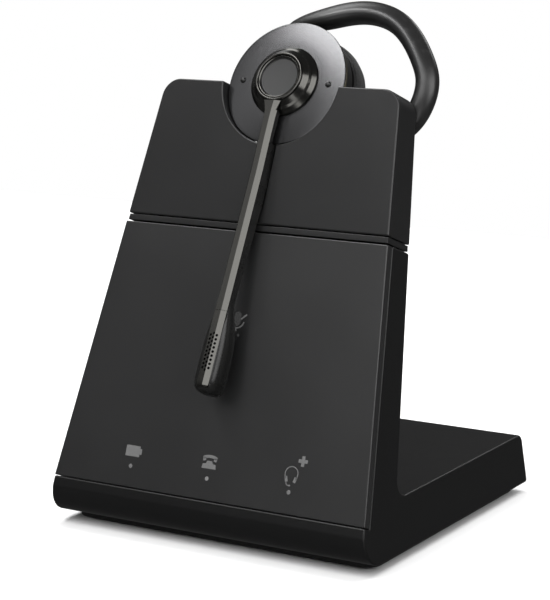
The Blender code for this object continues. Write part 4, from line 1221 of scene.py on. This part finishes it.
def makeCushion():
    # a stuffed ring: full at the back, drawn in at the seam and puckered along its inner edge
    middleR = (cushion["inner"] + cushion["outer"]) / 2
    middleH = (cushion["front"] + cushion["back"]) / 2
    halfR = (cushion["outer"] - cushion["inner"]) / 2 - 0.0001
    halfH = (cushion["front"] - cushion["back"]) / 2 - 0.0001
    rings = []
    for k in range(cushion["around"]):
        turn = 2 * math.pi * k / cushion["around"]
        ring = []
        for n in range(cushion["across"]):
            angle = 2 * math.pi * n / cushion["across"]
            out, along = math.cos(angle), math.sin(angle)
            r = math.copysign(abs(out) ** cushion["fullness"], out)
            h = math.copysign(abs(along) ** cushion["fullness"], along)
            # piping seam round the outer front edge
            seam = math.exp(-((angle - cushion["seamAngle"]) / 0.11) ** 2)
            inside = max(0.0, -out) ** 2
            pleat = 0.5 + 0.5 * math.sin(turn * cushion["pleats"] + 2.0 * math.sin(turn * 5))
            spot = Vector((math.cos(turn), math.sin(turn), along)) * 3.2
            soft = noise.noise(spot) * 0.00014
            shrink = 1 - 0.10 * seam - 0.05 * inside * pleat
            radius = middleR + halfR * r * shrink + soft * abs(out)
            height = middleH + halfH * h * shrink - 0.00016 * inside * pleat
            ring.append((radius * math.cos(turn), radius * math.sin(turn), height))
        rings.append(ring)
    pad = addPiece(
        "earCushionPad", skinRings(rings, closed=True), headFrame,
        "earpiece", "cushionSkin", "leatherette", ["ear_cushion"], angle=60.0,
    )
    # stitches along the seam
    forms = []
    seamAngle, full = cushion["seamAngle"], cushion["fullness"]
    r = middleR + halfR * math.cos(seamAngle) ** full * 0.93
    h = middleH + halfH * math.sin(seamAngle) ** full * 0.93
    for k in range(cushion["stitches"]):
        turn = 2 * math.pi * k / cushion["stitches"]
        stitch = bmesh.new()
        bmesh.ops.create_uvsphere(stitch, u_segments=8, v_segments=6, radius=1.0)
        bmesh.ops.scale(stitch, verts=stitch.verts, vec=(0.00011, 0.00038, 0.00011))
        bmesh.ops.translate(stitch, verts=stitch.verts, vec=(r, 0.0, h))
        bmesh.ops.rotate(stitch, verts=stitch.verts, matrix=Matrix.Rotation(turn, 3, "Z"))
        forms.append(stitch)
    thread = joinForms(forms)
    addPiece("cushionStitches", thread, headFrame, "earpiece", "cushionSkin", "leatherette", angle=60.0)


hook = {
    "thickness": 0.0068,
    "collar": 0.0172,
    "points": (
        (-0.0080, 0.0012, -0.0062, 0.36),
        (-0.0030, 0.0035, -0.0063, 0.68),
        (0.0030, 0.0048, -0.0066, 0.96),
        (0.0095, 0.0071, -0.0073, 1.0),
        (0.0165, 0.0081, -0.0081, 1.0),
        (0.0240, 0.0064, -0.0090, 1.0),
        (0.0300, 0.0017, -0.0098, 1.0),
        (0.0348, -0.0047, -0.0105, 1.0),
        (0.0375, -0.0101, -0.0112, 1.0),
        (0.0374, -0.0156, -0.0120, 1.0),
        (0.0354, -0.0206, -0.0130, 1.0),
        (0.0315, -0.0242, -0.0142, 0.98),
        (0.0265, -0.0267, -0.0154, 0.94),
        (0.0215, -0.0283, -0.0163, 0.80),
    ),
    "corners": 0.07,          # how three-cornered the section is
    "around": 56,
    "smoothing": 20,
}


def makeHook():
    route = smoothRoute(hook["points"], 12)
    last = len(route) - 1
    for _ in range(hook["smoothing"]):
        route = [route[0]] + [(route[n - 1] + route[n + 1]) / 2 for n in range(1, last)] + [route[last]]
    rings = []
    for n, spot in enumerate(route):
        ahead = route[min(n + 1, last)]
        behind = route[max(n - 1, 0)]
        along = (ahead - behind).to_3d().normalized()
        front = Vector((0.0, 0.0, 1.0))
        front = (front - along * front.dot(along)).normalized()
        outward = front.cross(along) * -1
        # both ends close in a soft dome
        fromEnd = min(n, last - n)
        dome = math.sqrt(max(0.0, 1 - (1 - min(1.0, fromEnd / 7)) ** 2))
        radius = hook["thickness"] / 2 * spot.w * max(0.02, dome)
        ring = []
        for k in range(hook["around"]):
            angle = 2 * math.pi * k / hook["around"]
            lift = 1 + hook["corners"] * (math.cos(3 * (angle - math.radians(62))) - 0.75)
            side = outward * math.cos(angle) + front * math.sin(angle)
            centre = Vector((spot.x, spot.y + hook["collar"], spot.z))
            ring.append(centre + side * radius * lift)
        rings.append(ring)
    arm = skinRings(rings)
    addPiece("earHookArm", arm, headFrame, "hook", "hookSkin", "soft_rubber", ["ear_hook"], angle=60.0)


makeDisc()
makeButton()
makeHub()
makeCapsule()
makeEarpiece()
makeCushion()
makeHook()
print("headset made")

# finishes of the solids that keep their own mesh
keptPaint = {
    "steelSkin": ("board_screw", "cap_screw", "mic_element", "ballast", "dock_magnet", "boom_retaining",
                  "speaker_basket", "speaker_magnet", "dome_switch"),
    "goldSkin": ("charging_contact", "antenna"),
    "boardSkin": ("main_board", "touch_board", "contact_board", "headset_board"),
    "darkInsert": ("contact_carrier", "button_guide"),
    "coneSkin": ("speaker_diaphragm",),
    "foilSkin": ("battery",),
}
for name, node in frame["nodes"].items():
    for paint, starts in keptPaint.items():
        if name.startswith(starts):
            node.data.materials.clear()
            node.data.materials.append(paints[paint])
            node.data.shade_smooth()
            node.data.set_sharp_from_angle(angle=math.radians(35))

studio = {
    "floorColor": (0.93, 0.93, 0.93),
    "room": 0.10,            # how bright the walls look to the object
    "lights": (
        # name, azimuth, elevation, distance, width, height, power, seen in reflections
        ("keyBox", 6.0, 39.0, 1.15, 0.92, 0.72, 7.6, True),
        ("discBox", -42.0, 57.0, 1.0, 0.42, 0.26, 4.6, True),
        ("leftFill", -52.0, 36.0, 1.0, 0.30, 0.40, 0.34, True),
        ("sideBox", 68.0, 27.0, 0.95, 0.62, 0.56, 4.2, True),
        ("frontCard", 16.0, -8.0, 0.85, 0.50, 0.34, 1.2, True),
        ("backBox", -108.0, 56.0, 1.0, 0.60, 0.36, 3.0, True),
        ("rimBox", 168.0, 30.0, 1.0, 0.50, 0.22, 1.2, True),
        ("overhead", 180.0, 66.0, 1.5, 1.9, 1.0, 24.0, False),
    ),
}


def makeStudio():
    outline = [(-0.6, -0.6), (0.6, -0.6), (0.6, 0.45), (-0.6, 0.45)]
    floor = looseObject("floorSheet", plateForm(outline, -0.002, 0.0), Matrix.Identity(4))
    pale = bpy.data.materials.new("paleFloor")
    pale.use_nodes = True
    core = pale.node_tree.nodes["Principled BSDF"]
    core.inputs["Base Color"].default_value = (*studio["floorColor"], 1.0)
    core.inputs["Roughness"].default_value = 0.9
    core.inputs["Specular IOR Level"].default_value = 0.1
    floor.data.materials.append(pale)
    floor.visible_glossy = False
    makeRoom()
    for name, azimuth, elevation, distance, width, height, power, reflected in studio["lights"]:
        lamp = bpy.data.lights.new(name, "AREA")
        lamp.shape = "RECTANGLE"
        lamp.size = width
        lamp.size_y = height
        lamp.energy = power
        holder = bpy.data.objects.new(name, lamp)
        bpy.context.scene.collection.objects.link(holder)
        az, el = math.radians(azimuth), math.radians(elevation)
        toLight = Vector((math.sin(az) * math.cos(el), -math.cos(az) * math.cos(el), math.sin(el)))
        holder.location = discMiddle + toLight * distance
        holder.rotation_euler = toLight.to_track_quat("Z", "Y").to_euler()
        holder.visible_glossy = reflected


def makeRoom():
    # white behind the object, dim grey for the light that falls on it
    world = bpy.data.worlds.new("paleRoom")
    bpy.context.scene.world = world
    world.use_nodes = True
    tree = world.node_tree
    root = Wire(tree)
    tree.nodes.clear()
    seen = root.node("LightPath")
    dim = root.node("Background", {}, {0: (1.0, 1.0, 1.0, 1.0), 1: studio["room"]})
    white = root.node("Background", {}, {0: (1.0, 1.0, 1.0, 1.0), 1: 1.0})
    mixed = root.node("MixShader", {}, {0: seen, 1: dim, 2: white})
    output = tree.nodes.new("ShaderNodeOutputWorld")
    tree.links.new(mixed.socket, output.inputs[0])


view = {
    "azimuth": 31.771,
    "elevation": 11.371,
    "roll": -0.487,
    "distance": 0.54411,
    "lens": 126.56,
    "aimX": 0.023479,
    "aimRise": 0.057366,
}


def makeCamera():
    az, el, roll = (math.radians(view[key]) for key in ("azimuth", "elevation", "roll"))
    back = Vector((math.sin(az) * math.cos(el), -math.cos(az) * math.cos(el), math.sin(el)))
    right = (-back).cross(Vector((0, 0, 1))).normalized()
    up = right.cross(-back)
    right, up = right * math.cos(roll) + up * math.sin(roll), up * math.cos(roll) - right * math.sin(roll)
    aim = seamPoint + Vector((view["aimX"], 0.0, view["aimRise"]))
    data = bpy.data.cameras.new("frontCamera")
    data.sensor_width = 36.0
    data.lens = view["lens"]
    data.clip_start = 0.01
    camera = bpy.data.objects.new("frontCamera", data)
    bpy.context.scene.collection.objects.link(camera)
    camera.matrix_world = axesAt(aim + back * view["distance"], right, up, back)
    bpy.context.scene.camera = camera


makeStudio()
makeCamera()
bpy.context.scene.view_settings.view_transform = "Standard"
print("studio made")
